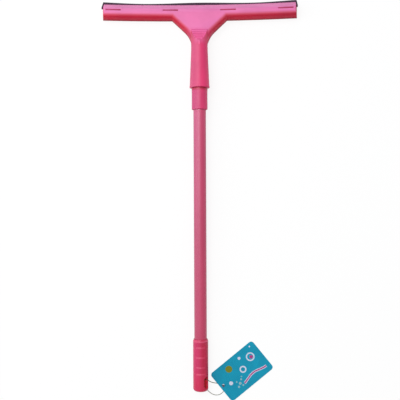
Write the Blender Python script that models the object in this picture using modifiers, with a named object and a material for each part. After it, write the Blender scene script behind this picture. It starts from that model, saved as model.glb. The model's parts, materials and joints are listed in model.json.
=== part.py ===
"""Hand squeegee with a short screw-on pole, lying on its back on a table.

Units are metres. +Z is up from the table, +Y runs from the grip to the blade and +X is to the
right of someone who looks along +Y. The origin is under the middle of the tool, on the table.
The head is a thin moulding that is open underneath. Its front wall leans down as a jaw over the
rubber blade, and a clamp strip behind the blade snaps its tongues up through slits in the face.
"""
import math

import bmesh
import bpy
from mathutils import Matrix, Vector

# Whole tool
overall_length = 0.600
bar_bow = 0.0028
seat_gap = 0.0003
cut_overrun = 0.004

# Head bar and its leaning jaw
face_length = 0.2944
face_depth = 0.0090
face_edge_radius = 0.006
end_edge_radius = 0.003
head_wall = 0.0022
wall_draft = math.radians(8.0)
end_draft = math.radians(9.3)
jaw_lean = math.radians(50.0)
jaw_length = 0.0098
jaw_wall = 0.0014
jaw_root_wall = 0.0026
jaw_end_wall = 0.0029
shoulder_radius = 0.004
lip_lift = 0.0004

# Fan between the bar and the neck
fan_half_width = 0.0426
fan_angle = math.radians(47.0)
fan_fillet_radius = 0.032
fan_foot_power = 8

# Neck and threaded socket
neck_radius = 0.0127
socket_length = 0.0782
socket_rim_radius = 0.0152
socket_mouth_radius = 0.0150
socket_mouth_length = 0.0155
socket_waist_radius = 0.01445
neck_straight_length = 0.0195
socket_bead_width = 0.0027
socket_bead_height = 0.0003
socket_clearance = 0.0004
socket_bore_depth = 0.0362
socket_core_radius = 0.0070
socket_end_wall = 0.008

# Thumb ramp where the neck runs down onto the fan
ramp_length = 0.0190
groove_count = 6
groove_pitch = 0.0033
groove_first_offset = 0.0014
groove_radius = 0.0009
groove_depth = 0.0005
groove_side_margin = 0.0006
groove_widest = 0.0240
tick_length = 0.0052
tick_width = 0.0018
tick_height = 0.0004
tick_offset = 0.0012

# Ribs under the head
rib_thickness = 0.0016
rib_pitch = 0.0295
rib_foot_lift = 0.003

# Rubber blade
blade_thickness = 0.003
blade_width = 0.0179
blade_overhang = 0.0028
blade_stick_out = 0.0102

# Clamp strip and its snap tongues
clamp_thickness = 0.0024
clamp_end_margin = 0.0007
clamp_edge_margin = 0.0005
tongue_count = 4
tongue_width = 0.0224
tongue_thickness = 0.0010
tongue_end_margin = 0.0044
tongue_setback = 0.0008
tongue_recess = 0.0006
tongue_gap = 0.0004

# Threaded ferrule on the pole
collar_length = 0.0330
collar_radius = 0.01215
collar_waist_radius = 0.0120
collar_rim_radius = 0.0121
collar_rim_chamfer = 0.0006
spigot_length = 0.034
spigot_radius = 0.0104
spigot_chamfer = 0.0012
spigot_core_radius = 0.0075
spigot_end_wall = 0.0040
tube_seat_depth = 0.0445

# Pole tube and its plastic sleeve
tube_radius = 0.0090
tube_wall = 0.0005
sleeve_wall = 0.0003

# Grip
grip_length = 0.080
grip_radius = 0.0116
grip_rim_radius = 0.0105
grip_rim_length = 0.0035
grip_end_radius = 0.006
grip_bore_end = 0.0270
scallop_stations = (0.0696, 0.0553, 0.0410, 0.0293)
scallop_start = 0.0762
scallop_rise = 0.0022
scallop_depth = 0.0007
scallop_lip = 0.0002
scallop_width = 0.0123
hole_length = 0.018
hole_width = 0.0115
hole_corner_radius = 0.0045
hole_station = 0.0137
hole_lean = math.radians(60.0)

# Hang tag on its loop
loop_diameter = 0.0011
loop_step = 0.0017
knot_radius = 0.0024
knot_height = 0.0022
tag_length = 0.0835
tag_width = 0.0545
tag_thickness = 0.0005
tag_corner_radius = 0.005
tag_turn = math.radians(39.2)
tag_tilt = math.radians(1.26)
tag_centre = (0.0635, 0.0275, 0.0015)
tag_hole_radius = 0.0021
tag_hole_place = (-0.0364, 0.0011)

# How finely the round and bowed pieces are divided
turn_steps = 48
bow_steps = 24
fillet_steps = 4
fan_foot_steps = 12

# The loop's route, from the tag's hole through the hanging hole and back to the tag's hole.
# Each point gives X, the distance ahead of the grip's end, and the height above the table.
loop_route = (
    (0.03425, 0.00560, 0.00262), (0.03360, 0.00575, 0.00175), (0.03230, 0.00610, 0.00098),
    (0.03040, 0.00665, 0.00075), (0.02750, 0.00755, 0.00080), (0.02430, 0.00840, 0.00130),
    (0.02050, 0.00970, 0.00370), (0.01720, 0.01140, 0.00740), (0.01430, 0.01365, 0.01080),
    (0.01130, 0.01590, 0.01270), (0.00820, 0.01660, 0.01140), (0.00514, 0.01670, 0.00973),
    (0.00230, 0.01670, 0.00809), (-0.00100, 0.01670, 0.00618), (-0.00390, 0.01670, 0.00450),
    (-0.00680, 0.01640, 0.00290), (-0.00910, 0.01510, 0.00180), (-0.01020, 0.01290, 0.00115),
    (-0.01020, 0.01010, 0.00075), (-0.00890, 0.00700, 0.00062), (-0.00640, 0.00440, 0.00062),
    (-0.00310, 0.00250, 0.00062), (0.00050, 0.00190, 0.00062), (0.00380, 0.00160, 0.00062),
    (0.00680, 0.00040, 0.00062), (0.00930, -0.00170, 0.00062), (0.01180, -0.00430, 0.00062),
    (0.01505, -0.00700, 0.00062), (0.01930, -0.00930, 0.00062), (0.02370, -0.01010, 0.00062),
    (0.02810, -0.00950, 0.00062), (0.03180, -0.00750, 0.00062), (0.03450, -0.00460, 0.00062),
    (0.03590, -0.00110, 0.00064), (0.03600, 0.00180, 0.00085), (0.03555, 0.00390, 0.00160),
    (0.03505, 0.00500, 0.00262),
)

# Places that follow from the sizes above
blade_length = face_length + 2 * blade_overhang
blade_half = blade_length / 2
face_half = face_length / 2
bore_radius = spigot_radius + seat_gap
weld_distance = seat_gap / 30
sleeve_inner_radius = tube_radius + seat_gap
sleeve_radius = sleeve_inner_radius + sleeve_wall
grip_bore_radius = sleeve_radius + seat_gap

# Directions in the bar's cross-section: down along the jaw, and from the jaw into the head
jaw_down = Vector((math.cos(jaw_lean), -math.sin(jaw_lean)))
jaw_inward = Vector((-math.sin(jaw_lean), -math.cos(jaw_lean)))

# Depths of the stacked pieces behind the jaw's outer face
blade_front = jaw_wall + seat_gap
blade_back = blade_front + blade_thickness
clamp_front = blade_back + seat_gap
clamp_back = clamp_front + clamp_thickness
rib_front = clamp_back + seat_gap

# The jaw's edge stands so high that the blade's lower corner just clears the table
tip_y = overall_length / 2 - bar_bow
jaw_edge = Vector((
    tip_y - blade_stick_out * jaw_down.x - blade_front * jaw_inward.x,
    lip_lift - blade_stick_out * jaw_down.y - blade_back * jaw_inward.y,
))
face_height = jaw_edge.y - jaw_length * jaw_down.y + shoulder_radius * (1 - math.cos(jaw_lean))
shoulder_y = jaw_edge.x - jaw_length * jaw_down.x - shoulder_radius * math.sin(jaw_lean)


def across_jaw(depth, along):
    """Point of the bar's cross-section at a depth behind the jaw and a distance past its edge."""
    return jaw_edge + jaw_inward * depth + jaw_down * along


# The tongues stand behind the blade's upper edge
tongue_front_y = across_jaw(blade_back, blade_stick_out - blade_width).x - seat_gap - tongue_setback
tongue_back_y = tongue_front_y - tongue_thickness
tongue_y = (tongue_front_y + tongue_back_y) / 2
face_back_y = min(tongue_y, shoulder_y) - face_depth
foot_y = face_back_y - face_height * math.tan(wall_draft)
foot_half = face_half + face_height * math.tan(end_draft)

# The fan's sloping sides meet the neck's sides at this place
fan_corner_y = foot_y - (fan_half_width - neck_radius) / math.tan(fan_angle)
fan_back_y = fan_corner_y - fan_fillet_radius * math.tan(fan_angle / 2) - head_wall
socket_y = fan_corner_y - socket_length
socket_z = socket_rim_radius + socket_bead_height + socket_clearance
grip_end_y = -overall_length / 2
handle_length = socket_y - grip_end_y
lie_angle = math.asin((socket_z - grip_radius) / (handle_length - grip_end_radius))


def bow_at(x):
    """How far the bar at X lies ahead of its middle."""
    return bar_bow * (x / blade_half) ** 2


def bow_turn_at(x):
    """Turn about Z that follows the bar at X."""
    return math.atan(2 * bar_bow * x / blade_half ** 2)


def mix(start, end, share):
    """Value that lies at a share of the way from start to end."""
    return start + (end - start) * share


# Scene and its collections
def clear_scene():
    """Remove every object."""
    for item in list(bpy.data.objects):
        bpy.data.objects.remove(item, do_unlink=True)


def new_collection(name):
    """Collection of this name, linked to the scene."""
    collection = bpy.data.collections.new(name)
    bpy.context.scene.collection.children.link(collection)
    return collection


clear_scene()
parts = new_collection("squeegee")
cutters = new_collection("cutters")
guides = new_collection("guides")


def plastic(name, colour, roughness, metallic=0.0):
    """Plain Principled material."""
    material = bpy.data.materials.new(name)
    material.use_nodes = True
    shader = material.node_tree.nodes["Principled BSDF"]
    shader.inputs["Base Color"].default_value = (*colour, 1.0)
    shader.inputs["Roughness"].default_value = roughness
    shader.inputs["Metallic"].default_value = metallic
    return material


head_pink = plastic("head_pink", (0.83, 0.16, 0.38), 0.35)
clamp_pink = plastic("clamp_pink", (0.70, 0.10, 0.25), 0.40)
rubber_black = plastic("rubber_black", (0.045, 0.018, 0.035), 0.60)
ferrule_pink = plastic("ferrule_pink", (0.62, 0.08, 0.18), 0.38)
tube_steel = plastic("tube_steel", (0.55, 0.56, 0.58), 0.30, 1.0)
sleeve_pink = plastic("sleeve_pink", (0.55, 0.08, 0.16), 0.45)
grip_pink = plastic("grip_pink", (0.66, 0.05, 0.14), 0.40)
loop_grey = plastic("loop_grey", (0.42, 0.42, 0.36), 0.35)
tag_blue = plastic("tag_blue", (0.02, 0.30, 0.52), 0.40)


# Building blocks
def make_object(name, mesh, material, collection=None):
    """Object that shows a mesh in its own material."""
    item = bpy.data.objects.new(name, mesh)
    (collection or parts).objects.link(item)
    if material:
        mesh.materials.append(material)
    return item


def as_cutter(item):
    """Keep a cutting or joining body out of the model."""
    item.hide_render = True
    item.display_type = "WIRE"
    return item


def shade_round(item, degrees=30.0):
    """Shade a round piece smooth between its real edges."""
    item.data.shade_smooth()
    item.data.set_sharp_from_angle(angle=math.radians(degrees))


def loft(name, rings, material=None, collection=None):
    """Closed solid through rings of points that have the same count, with flat end caps."""
    mesh = bpy.data.meshes.new(name)
    body = bmesh.new()
    rows = [[body.verts.new(point) for point in ring] for ring in rings]
    count = len(rows[0])
    for low, high in zip(rows, rows[1:]):
        for i in range(count):
            j = (i + 1) % count
            body.faces.new((low[i], low[j], high[j], high[i]))
    bmesh.ops.triangulate(body, faces=body.faces[:])
    body.faces.new(tuple(reversed(rows[0])))
    body.faces.new(tuple(rows[-1]))
    bmesh.ops.recalc_face_normals(body, faces=body.faces[:])
    body.to_mesh(mesh)
    body.free()
    return make_object(name, mesh, material, collection)


def sweep_along_bar(name, section, half_length, material=None, collection=None, draft=0.0):
    """Sweep a cross-section, points of Y and Z, along the bowed bar to its drafted ends."""
    rings = []
    for i in range(bow_steps + 1):
        share = mix(-1.0, 1.0, i / bow_steps)
        ring = []
        for y, z in section:
            x = share * (half_length + (face_height - z) * math.tan(draft))
            ring.append(Vector((x, y + bow_at(share * half_length), z)))
        rings.append(ring)
    return loft(name, rings, material, collection)


def plate(name, outlines, thickness, material=None, collection=None):
    """Flat piece about its own middle plane: an outline, and any holes in it, with a thickness."""
    curve = bpy.data.curves.new(name, "CURVE")
    curve.dimensions = "2D"
    curve.fill_mode = "BOTH"
    curve.extrude = thickness / 2
    for outline in outlines:
        spline = curve.splines.new("POLY")
        spline.points.add(len(outline) - 1)
        spline.use_cyclic_u = True
        for slot, (x, y) in zip(spline.points, outline):
            slot.co = (x, y, 0.0, 1.0)
    flat = bpy.data.objects.new(name, curve)
    parts.objects.link(flat)
    graph = bpy.context.evaluated_depsgraph_get()
    mesh = bpy.data.meshes.new_from_object(flat.evaluated_get(graph))
    bpy.data.objects.remove(flat, do_unlink=True)
    body = bmesh.new()
    body.from_mesh(mesh)
    bmesh.ops.remove_doubles(body, verts=body.verts[:], dist=weld_distance)
    bmesh.ops.recalc_face_normals(body, faces=body.faces[:])
    body.to_mesh(mesh)
    body.free()
    mesh.name = name
    mesh.materials.clear()
    return make_object(name, mesh, material, collection)


def slab(name, section, start, end):
    """Cutter of one cross-section, points of Y and Z, from one X to another."""
    item = plate(name, [section], abs(end - start), collection=cutters)
    item.rotation_euler = (math.pi / 2, 0.0, math.pi / 2)
    item.location.x = (start + end) / 2
    return item


def block(name, size, place, turn_z=0.0, collection=None):
    """Box of a size about a place, turned about Z."""
    mesh = bpy.data.meshes.new(name)
    body = bmesh.new()
    bmesh.ops.create_cube(body, size=1.0, matrix=Matrix.Diagonal((*size, 1.0)))
    body.to_mesh(mesh)
    body.free()
    item = make_object(name, mesh, None, collection)
    item.location = place
    item.rotation_euler.z = turn_z
    return item


def turned(name, profile, material=None, collection=None, steps=turn_steps):
    """Solid of revolution about local Z of a profile that runs down its outer side."""
    mesh = bpy.data.meshes.new(name)
    body = bmesh.new()
    points = [body.verts.new((radius, 0.0, height)) for radius, height in profile]
    on_axis = profile[0][0] == 0 and profile[-1][0] == 0
    loops = zip(points, points[1:]) if on_axis else zip(points, points[1:] + points[:1])
    for first, second in loops:
        body.edges.new((first, second))
    body.to_mesh(mesh)
    body.free()
    item = make_object(name, mesh, material, collection)
    screw = item.modifiers.new("turn", "SCREW")
    screw.axis = "Z"
    screw.steps = steps
    screw.render_steps = steps
    screw.use_merge_vertices = True
    screw.merge_threshold = weld_distance
    screw.use_normal_calculate = False
    screw.use_smooth_shade = True
    return item


def boolean(item, other, operation):
    """Join or cut a piece with another body."""
    modifier = item.modifiers.new(f"{operation.lower()} {other.name}", "BOOLEAN")
    modifier.operation = operation
    modifier.solver = "EXACT"
    modifier.object = other
    as_cutter(other)


def cut(item, other):
    boolean(item, other, "DIFFERENCE")


def join(item, other):
    boolean(item, other, "UNION")


# The handle's axis: local Z runs up the handle from the socket's rim into the head
handle_axis = bpy.data.objects.new("handle_axis", None)
guides.objects.link(handle_axis)
handle_axis.location = (0.0, socket_y, socket_z)
handle_axis.rotation_euler.x = lie_angle - math.pi / 2


def on_handle(item):
    """Carry a piece that is built about the handle's axis."""
    item.parent = handle_axis
    return item


# Head shell
def inset_at(height, draft, radius, wall=0.0):
    """How far a drafted and rounded side, or its wall's inside, lies in from the foot line."""
    centre_z = face_height - radius
    inner_radius = max(radius - wall, seat_gap)
    if height <= centre_z + inner_radius * math.sin(draft):
        return max(height, 0.0) * math.tan(draft) + wall / math.cos(draft)
    centre = centre_z * math.tan(draft) + wall / math.cos(draft) + inner_radius / math.cos(draft)
    reach = max(inner_radius ** 2 - (height - centre_z) ** 2, 0.0)
    return centre - math.sqrt(reach)


def head_outline(inset, end_inset, front_y, height):
    """Plan of the bar, fan and neck, moved in from the foot line, at one height."""
    half = foot_half - end_inset
    neck = neck_radius - inset
    start_x = fan_half_width - inset * math.cos(fan_angle)
    start_x += inset * (1 - math.sin(fan_angle)) * math.tan(fan_angle)
    right = []
    for i in range(bow_steps // 2 + 1):
        right.append((mix(0.0, half, 2 * i / bow_steps), front_y))
    for i in range(bow_steps // 2 + 1):
        right.append((mix(half, start_x, 2 * i / bow_steps), foot_y + inset))
    centre = (neck_radius + fan_fillet_radius, fan_corner_y - fan_fillet_radius * math.tan(fan_angle / 2))
    radius = fan_fillet_radius + inset
    for i in range(2 * fillet_steps + 1):
        angle = mix(math.pi - fan_angle, math.pi, i / (2 * fillet_steps))
        right.append((centre[0] + radius * math.cos(angle), centre[1] + radius * math.sin(angle)))
    right.append((neck, fan_back_y))
    left = [(-x, y) for x, y in reversed(right[1:])]
    return [Vector((x, y + bow_at(x), height)) for x, y in right + left]


def edge_heights(radius, steps):
    """Heights of the rings that shape the rounded edge under the face."""
    heights = []
    for i in range(steps + 1):
        angle = mix(wall_draft, math.pi / 2, i / steps)
        heights.append(face_height - face_edge_radius + radius * math.sin(angle))
    return heights


def head_body():
    """Outer body of the bar and fan, with drafted sides and a rounded upper edge."""
    rings = []
    for height in [0.0, *edge_heights(face_edge_radius, 2 * fillet_steps)]:
        inset = inset_at(height, wall_draft, face_edge_radius)
        end_inset = inset_at(height, end_draft, end_edge_radius)
        rings.append(head_outline(inset, end_inset, tip_y, height))
    return loft("head_shell", rings, head_pink)


def head_hollow():
    """Open underside, one wall inside the outer body."""
    rings = []
    for height in [-cut_overrun, *edge_heights(face_edge_radius - head_wall, fillet_steps)]:
        inset = inset_at(height, wall_draft, face_edge_radius, head_wall)
        end_inset = inset_at(height, end_draft, end_edge_radius, head_wall)
        rings.append(head_outline(inset, end_inset, tongue_back_y, height))
    return loft("head_hollow", rings, collection=cutters)


def jaw_outside():
    """Space in front of the jaw, with the rounded shoulder above it."""
    far_y = tip_y + face_height
    section = [(shoulder_y, face_height + cut_overrun)]
    for i in range(fillet_steps + 1):
        angle = mix(0.0, jaw_lean, i / fillet_steps)
        y = shoulder_y + shoulder_radius * math.sin(angle)
        section.append((y, face_height - shoulder_radius * (1 - math.cos(angle))))
    section.append(tuple(jaw_edge))
    section.append(tuple(across_jaw(jaw_wall, 0.0)))
    section.append((across_jaw(jaw_wall, 0.0).x, -cut_overrun))
    section.append((far_y, -cut_overrun))
    section.append((far_y, face_height + cut_overrun))
    return sweep_along_bar("jaw_outside", section, foot_half + cut_overrun, collection=cutters)


def rib_front_line():
    """Slanted line just behind the clamp: its upper knee and its foot below the table."""
    back = across_jaw(rib_front, 0.0)
    knee_y = tongue_back_y - seat_gap
    knee = (knee_y, back.y + (knee_y - back.x) * jaw_down.y / jaw_down.x)
    foot = (back.x + (-cut_overrun - back.y) * jaw_down.x / jaw_down.y, -cut_overrun)
    return knee, foot


def line_under_jaw(depth, under):
    """Line at a depth behind the jaw's outer face, from a height down below the table."""
    start = across_jaw(depth, 0.0)
    top_y = start.x + (under - start.y) * jaw_down.x / jaw_down.y
    foot_y_here = start.x + (-cut_overrun - start.y) * jaw_down.x / jaw_down.y
    return [(top_y, under), (foot_y_here, -cut_overrun)]


def front_hollow():
    """Open space in front of the main hollow, between the end walls, up to the blade."""
    back_y = tongue_back_y - head_wall
    under = face_height - jaw_root_wall
    middle = (blade_front + blade_back) / 2
    section = [(back_y, under), *line_under_jaw(middle, under), (back_y, -cut_overrun)]
    half = face_half - jaw_end_wall
    return sweep_along_bar("front_hollow", section, half, collection=cutters, draft=end_draft)


def blade_space():
    """Space under the jaw for the blade and the clamp, in front of the ribs and end walls."""
    knee, foot = rib_front_line()
    under = face_height - jaw_end_wall
    section = [(knee[0], under), *line_under_jaw(jaw_wall, under), foot, knee]
    return sweep_along_bar("blade_space", section, foot_half + cut_overrun, collection=cutters)


def jaw_end_space(side):
    """Space beside one end of the jaw, where the blade reaches past it."""
    knee_y = rib_front_line()[0][0]
    middle = across_jaw((blade_front + blade_back) / 2, 0.0)
    low = middle.y + (knee_y - middle.x) * jaw_down.y / jaw_down.x
    far_y = tip_y + face_height
    top = face_height + cut_overrun
    section = [(knee_y, top), (knee_y, low), tuple(middle + jaw_down * face_height), (far_y, top)]
    shifted = [(point[0] + bow_at(foot_half), point[1]) for point in section]
    name = "jaw_end_right" if side > 0 else "jaw_end_left"
    return slab(name, shifted, side * face_half, side * (foot_half + cut_overrun))


def fan_foot():
    """Space under the fan, whose foot stays low and then sweeps up round the neck's sides."""
    run = foot_y - fan_back_y
    section = [(foot_y, -cut_overrun)]
    for i in range(1, fan_foot_steps + 1):
        share = math.sin(i / fan_foot_steps * math.pi / 2)
        section.append((foot_y - share * run, socket_z * share ** fan_foot_power))
    section.append((fan_back_y - cut_overrun, socket_z))
    section.append((fan_back_y - cut_overrun, -cut_overrun))
    return slab("fan_foot", section, -fan_half_width, fan_half_width)


def neck_solid():
    """Round neck that widens to the socket's rim, with a bead round its mouth."""
    top = socket_length + (fan_half_width - neck_radius) / 2
    waist = socket_mouth_length
    taper_end = socket_length - neck_straight_length
    bead = socket_bead_width
    profile = [
        (0.0, top),
        (neck_radius, top),
        (neck_radius, taper_end),
        (socket_waist_radius, waist),
        (socket_mouth_radius, bead + 2 * socket_bead_height),
        (socket_rim_radius, bead),
        (socket_rim_radius + socket_bead_height, bead / 2),
        (socket_rim_radius, 0.0),
        (0.0, 0.0),
    ]
    return on_handle(turned("neck_solid", profile, collection=cutters))


def neck_axis_height(y):
    """Height of the handle's axis over the table at Y."""
    return socket_z + (y - socket_y) * math.tan(lie_angle)


ramp_low_y = fan_corner_y + (fan_half_width - neck_radius) / 2 - groove_pitch
ramp_high_y = ramp_low_y - ramp_length
ramp_high_z = neck_axis_height(ramp_high_y) + neck_radius
ramp_slope = math.atan((ramp_high_z - face_height) / ramp_length)


def ramp_height(y):
    """Height of the thumb ramp at Y."""
    return face_height + (ramp_low_y - y) * math.tan(ramp_slope)


def ramp_space():
    """Space over the thumb ramp, whose slope runs on down below the fan's face."""
    near_y = ramp_high_y - cut_overrun
    far_y = ramp_low_y + fan_half_width
    top = ramp_height(near_y) + cut_overrun
    section = [(near_y, ramp_height(near_y)), (far_y, ramp_height(far_y)), (far_y, top), (near_y, top)]
    return slab("ramp_space", section, -fan_half_width, fan_half_width)


def groove(index):
    """One cross groove of the thumb ramp, as wide as the ramp leaves room for."""
    y = ramp_low_y - groove_first_offset - index * groove_pitch
    z = ramp_height(y)
    rise = z - neck_axis_height(y)
    room = math.sqrt(max(neck_radius ** 2 - rise ** 2, groove_pitch ** 2))
    width = min(2 * (room - groove_side_margin), groove_widest)
    mesh = bpy.data.meshes.new(f"groove_{index + 1}")
    body = bmesh.new()
    bmesh.ops.create_cone(body, cap_ends=True, segments=turn_steps // 4, radius1=groove_radius,
                          radius2=groove_radius, depth=width)
    body.to_mesh(mesh)
    body.free()
    item = make_object(f"groove_{index + 1}", mesh, None, cutters)
    item.rotation_euler.y = math.pi / 2
    item.location = (0.0, y, z + groove_radius - groove_depth)
    return item


def tick():
    """Small raised mark on the neck behind the ramp."""
    top_y = ramp_high_y - tick_offset
    y = top_y - tick_length / 2
    z = neck_axis_height(y) + neck_radius
    height = 2 * head_wall
    place = (0.0, y, z + tick_height - height / 2)
    return block("tick", (tick_width, tick_length, height), place, collection=cutters)


def rib(name, x):
    """Rib across the open underside; the blade's space trims its front."""
    depth = tip_y - fan_back_y + cut_overrun
    height = face_height + cut_overrun - rib_foot_lift
    place = (x, tip_y - depth / 2, rib_foot_lift + height / 2)
    return block(name, (rib_thickness, depth, height), place, collection=cutters)


def ribs():
    """Ribs at an even pitch between the end walls."""
    count = max(int((face_half - 2 * head_wall) / rib_pitch), 1)
    return [rib(f"rib_{i + count + 1}", i * rib_pitch) for i in range(-count, count + 1)]


def fan_web():
    """Cross web that carries the bar's rear wall on over the fan's hollow."""
    height = face_height + cut_overrun - rib_foot_lift
    size = (2 * fan_half_width, rib_thickness, height)
    place = (0.0, foot_y + head_wall, rib_foot_lift + height / 2)
    return block("fan_web", size, place, collection=cutters)


def tongue_places():
    """X of each tongue, evenly spread between the jaw's ends."""
    reach = face_half - tongue_end_margin - tongue_width / 2
    return [mix(-reach, reach, i / (tongue_count - 1)) for i in range(tongue_count)]


def slit(index, x):
    """Slit in the face that one tongue stands in."""
    height = 2 * face_edge_radius + head_wall
    size = (tongue_width + 2 * tongue_gap, tongue_thickness + 2 * tongue_gap, height)
    place = (x, tongue_y + bow_at(x), face_height)
    return block(f"slit_{index + 1}", size, place, bow_turn_at(x), cutters)


def socket_bore():
    """Bore for the ferrule's spigot, with a narrower core behind it."""
    end = socket_length - socket_end_wall
    profile = [
        (0.0, end),
        (socket_core_radius, end),
        (socket_core_radius, socket_bore_depth),
        (bore_radius, socket_bore_depth),
        (bore_radius, -cut_overrun),
        (0.0, -cut_overrun),
    ]
    return on_handle(turned("socket_bore", profile, collection=cutters))


def make_head_shell():
    """Head moulding: bar, leaning jaw, fan, neck and socket in one piece."""
    shell = head_body()
    cut(shell, jaw_outside())
    for side in (-1, 1):
        cut(shell, jaw_end_space(side))
    webs = [*ribs(), fan_web()]
    for hollow in (head_hollow(), front_hollow()):
        for web in webs:
            cut(hollow, web)
        cut(shell, hollow)
    cut(shell, blade_space())
    cut(shell, fan_foot())
    bore = socket_bore()
    cut(shell, bore)
    neck = neck_solid()
    cut(neck, bore)
    cut(neck, ramp_space())
    for index in range(groove_count):
        cut(neck, groove(index))
    join(neck, tick())
    join(shell, neck)
    for index, x in enumerate(tongue_places()):
        cut(shell, slit(index, x))
    return shell


# Blade and clamp
def make_blade():
    """Rubber blade that leans under the jaw and reaches past its edge and its ends."""
    high = blade_stick_out - blade_width
    section = [
        across_jaw(blade_front, high),
        across_jaw(blade_front, blade_stick_out),
        across_jaw(blade_back, blade_stick_out),
        across_jaw(blade_back, high),
    ]
    return sweep_along_bar("blade", section, blade_half, rubber_black)


def make_clamp():
    """Clamp strip behind the blade, with tongues that stand up through the face."""
    front = across_jaw(clamp_front, 0.0)
    back = across_jaw(clamp_back, 0.0)
    front_top = front.y + (tongue_front_y - front.x) * jaw_down.y / jaw_down.x
    back_top = back.y + (tongue_back_y - back.x) * jaw_down.y / jaw_down.x
    section = [
        across_jaw(clamp_front, -clamp_edge_margin),
        across_jaw(clamp_back, -clamp_edge_margin),
        (tongue_back_y, back_top),
        (tongue_back_y, front_top),
        (tongue_front_y, front_top),
    ]
    clamp = sweep_along_bar("blade_clamp", section, face_half - clamp_end_margin, clamp_pink)
    top = face_height - tongue_recess
    bottom = (front_top + back_top) / 2
    for index, x in enumerate(tongue_places()):
        size = (tongue_width, tongue_thickness, top - bottom)
        place = (x, tongue_y + bow_at(x), (top + bottom) / 2)
        join(clamp, block(f"tongue_{index + 1}", size, place, bow_turn_at(x), cutters))
    return clamp


# Ferrule, tube and sleeve
def make_ferrule():
    """Collar below the socket's rim with a hollow spigot that screws into it."""
    top = spigot_length + seat_gap
    under = -seat_gap
    rim = under - collar_length
    seat = rim + tube_seat_depth + seat_gap
    tube_room = tube_radius + seat_gap
    profile = [
        (0.0, top),
        (spigot_radius - spigot_chamfer, top),
        (spigot_radius, top - spigot_chamfer),
        (spigot_radius, under),
        (collar_radius, under),
        (collar_waist_radius, mix(under, rim, 1 / 3)),
        (collar_rim_radius, rim + collar_rim_chamfer),
        (collar_rim_radius - collar_rim_chamfer, rim),
        (tube_room, rim),
        (tube_room, seat),
        (spigot_core_radius, seat),
        (spigot_core_radius, top - spigot_end_wall),
        (0.0, top - spigot_end_wall),
    ]
    ferrule = on_handle(turned("ferrule", profile, ferrule_pink))
    return ferrule


collar_rim = -seat_gap - collar_length
grip_end = -handle_length
grip_top = grip_end + grip_length
tube_end = grip_end + grip_bore_end + seat_gap
tube_top = collar_rim + tube_seat_depth


def ring_profile(outer, inner, top, bottom):
    """Closed profile of a plain tube."""
    return [(outer, top), (outer, bottom), (inner, bottom), (inner, top)]


def make_tube():
    """Steel tube from inside the grip to its seat in the ferrule."""
    profile = ring_profile(tube_radius, tube_radius - tube_wall, tube_top, tube_end)
    return on_handle(turned("pole_tube", profile, tube_steel))


def make_sleeve():
    """Plastic sleeve over the tube, up to the collar's rim."""
    profile = ring_profile(sleeve_radius, sleeve_inner_radius, collar_rim - seat_gap, tube_end)
    return on_handle(turned("pole_sleeve", profile, sleeve_pink))


# Grip
def scallop_cutter():
    """Sawtooth ring that steps the grip's thumb panel, kept to the panel's width."""
    outside = grip_radius + cut_overrun
    crest = grip_radius + scallop_lip
    floor = grip_radius - scallop_depth
    profile = [(outside, grip_end + scallop_start), (crest, grip_end + scallop_start)]
    for station in scallop_stations:
        profile.append((floor, grip_end + station))
        profile.append((crest, grip_end + station - scallop_rise))
    profile.append((outside, grip_end + scallop_stations[-1] - scallop_rise))
    ring = on_handle(turned("scallop_ring", list(reversed(profile)), collection=cutters))
    height = scallop_start - scallop_stations[-1] + 2 * cut_overrun
    middle = grip_end + (scallop_start + scallop_stations[-1]) / 2
    place = (0.0, -grip_radius, middle)
    panel = block("scallop_panel", (scallop_width, 2 * grip_radius, height), place, collection=cutters)
    on_handle(panel)
    boolean(ring, panel, "INTERSECT")
    return ring


def rounded_rectangle(width, height, radius, steps=fillet_steps):
    """Outline of a rectangle with round corners, about its middle."""
    points = []
    corners = ((1, 1, 0), (-1, 1, 1), (-1, -1, 2), (1, -1, 3))
    for side_x, side_y, quarter in corners:
        for i in range(steps + 1):
            angle = (quarter + i / steps) * math.pi / 2
            x = side_x * (width / 2 - radius) + radius * math.cos(angle)
            y = side_y * (height / 2 - radius) + radius * math.sin(angle)
            points.append((x, y))
    return points


def hanging_hole():
    """Oblong hole right through the grip near its end, leaning over to the right."""
    outline = rounded_rectangle(hole_width, hole_length, hole_corner_radius, 2 * fillet_steps)
    item = plate("hanging_hole", [outline], 2 * (grip_radius + cut_overrun), collection=cutters)
    item.rotation_euler = (math.pi / 2, 0.0, hole_lean)
    item.location.z = grip_end + hole_station
    return on_handle(item)


def make_grip():
    """Moulded grip with a stepped thumb panel and a hanging hole."""
    profile = [
        (grip_bore_radius, grip_top),
        (grip_rim_radius, grip_top),
        (grip_radius, grip_top - grip_rim_length),
        (grip_radius, grip_end + grip_end_radius),
    ]
    for i in range(1, 2 * fillet_steps + 1):
        angle = i / (2 * fillet_steps) * math.pi / 2
        radius = grip_radius - grip_end_radius * (1 - math.cos(angle))
        profile.append((radius, grip_end + grip_end_radius * (1 - math.sin(angle))))
    profile.append((0.0, grip_end))
    profile.insert(0, (grip_bore_radius, grip_end + grip_bore_end))
    profile.insert(0, (0.0, grip_end + grip_bore_end))
    grip = on_handle(turned("grip", profile, grip_pink))
    cut(grip, scallop_cutter())
    cut(grip, hanging_hole())
    return grip


# Hang tag
def from_grip_end(point):
    """World place of a point given as X, distance ahead of the grip's end, and height."""
    return Vector((point[0], grip_end_y + point[1], point[2]))


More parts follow.
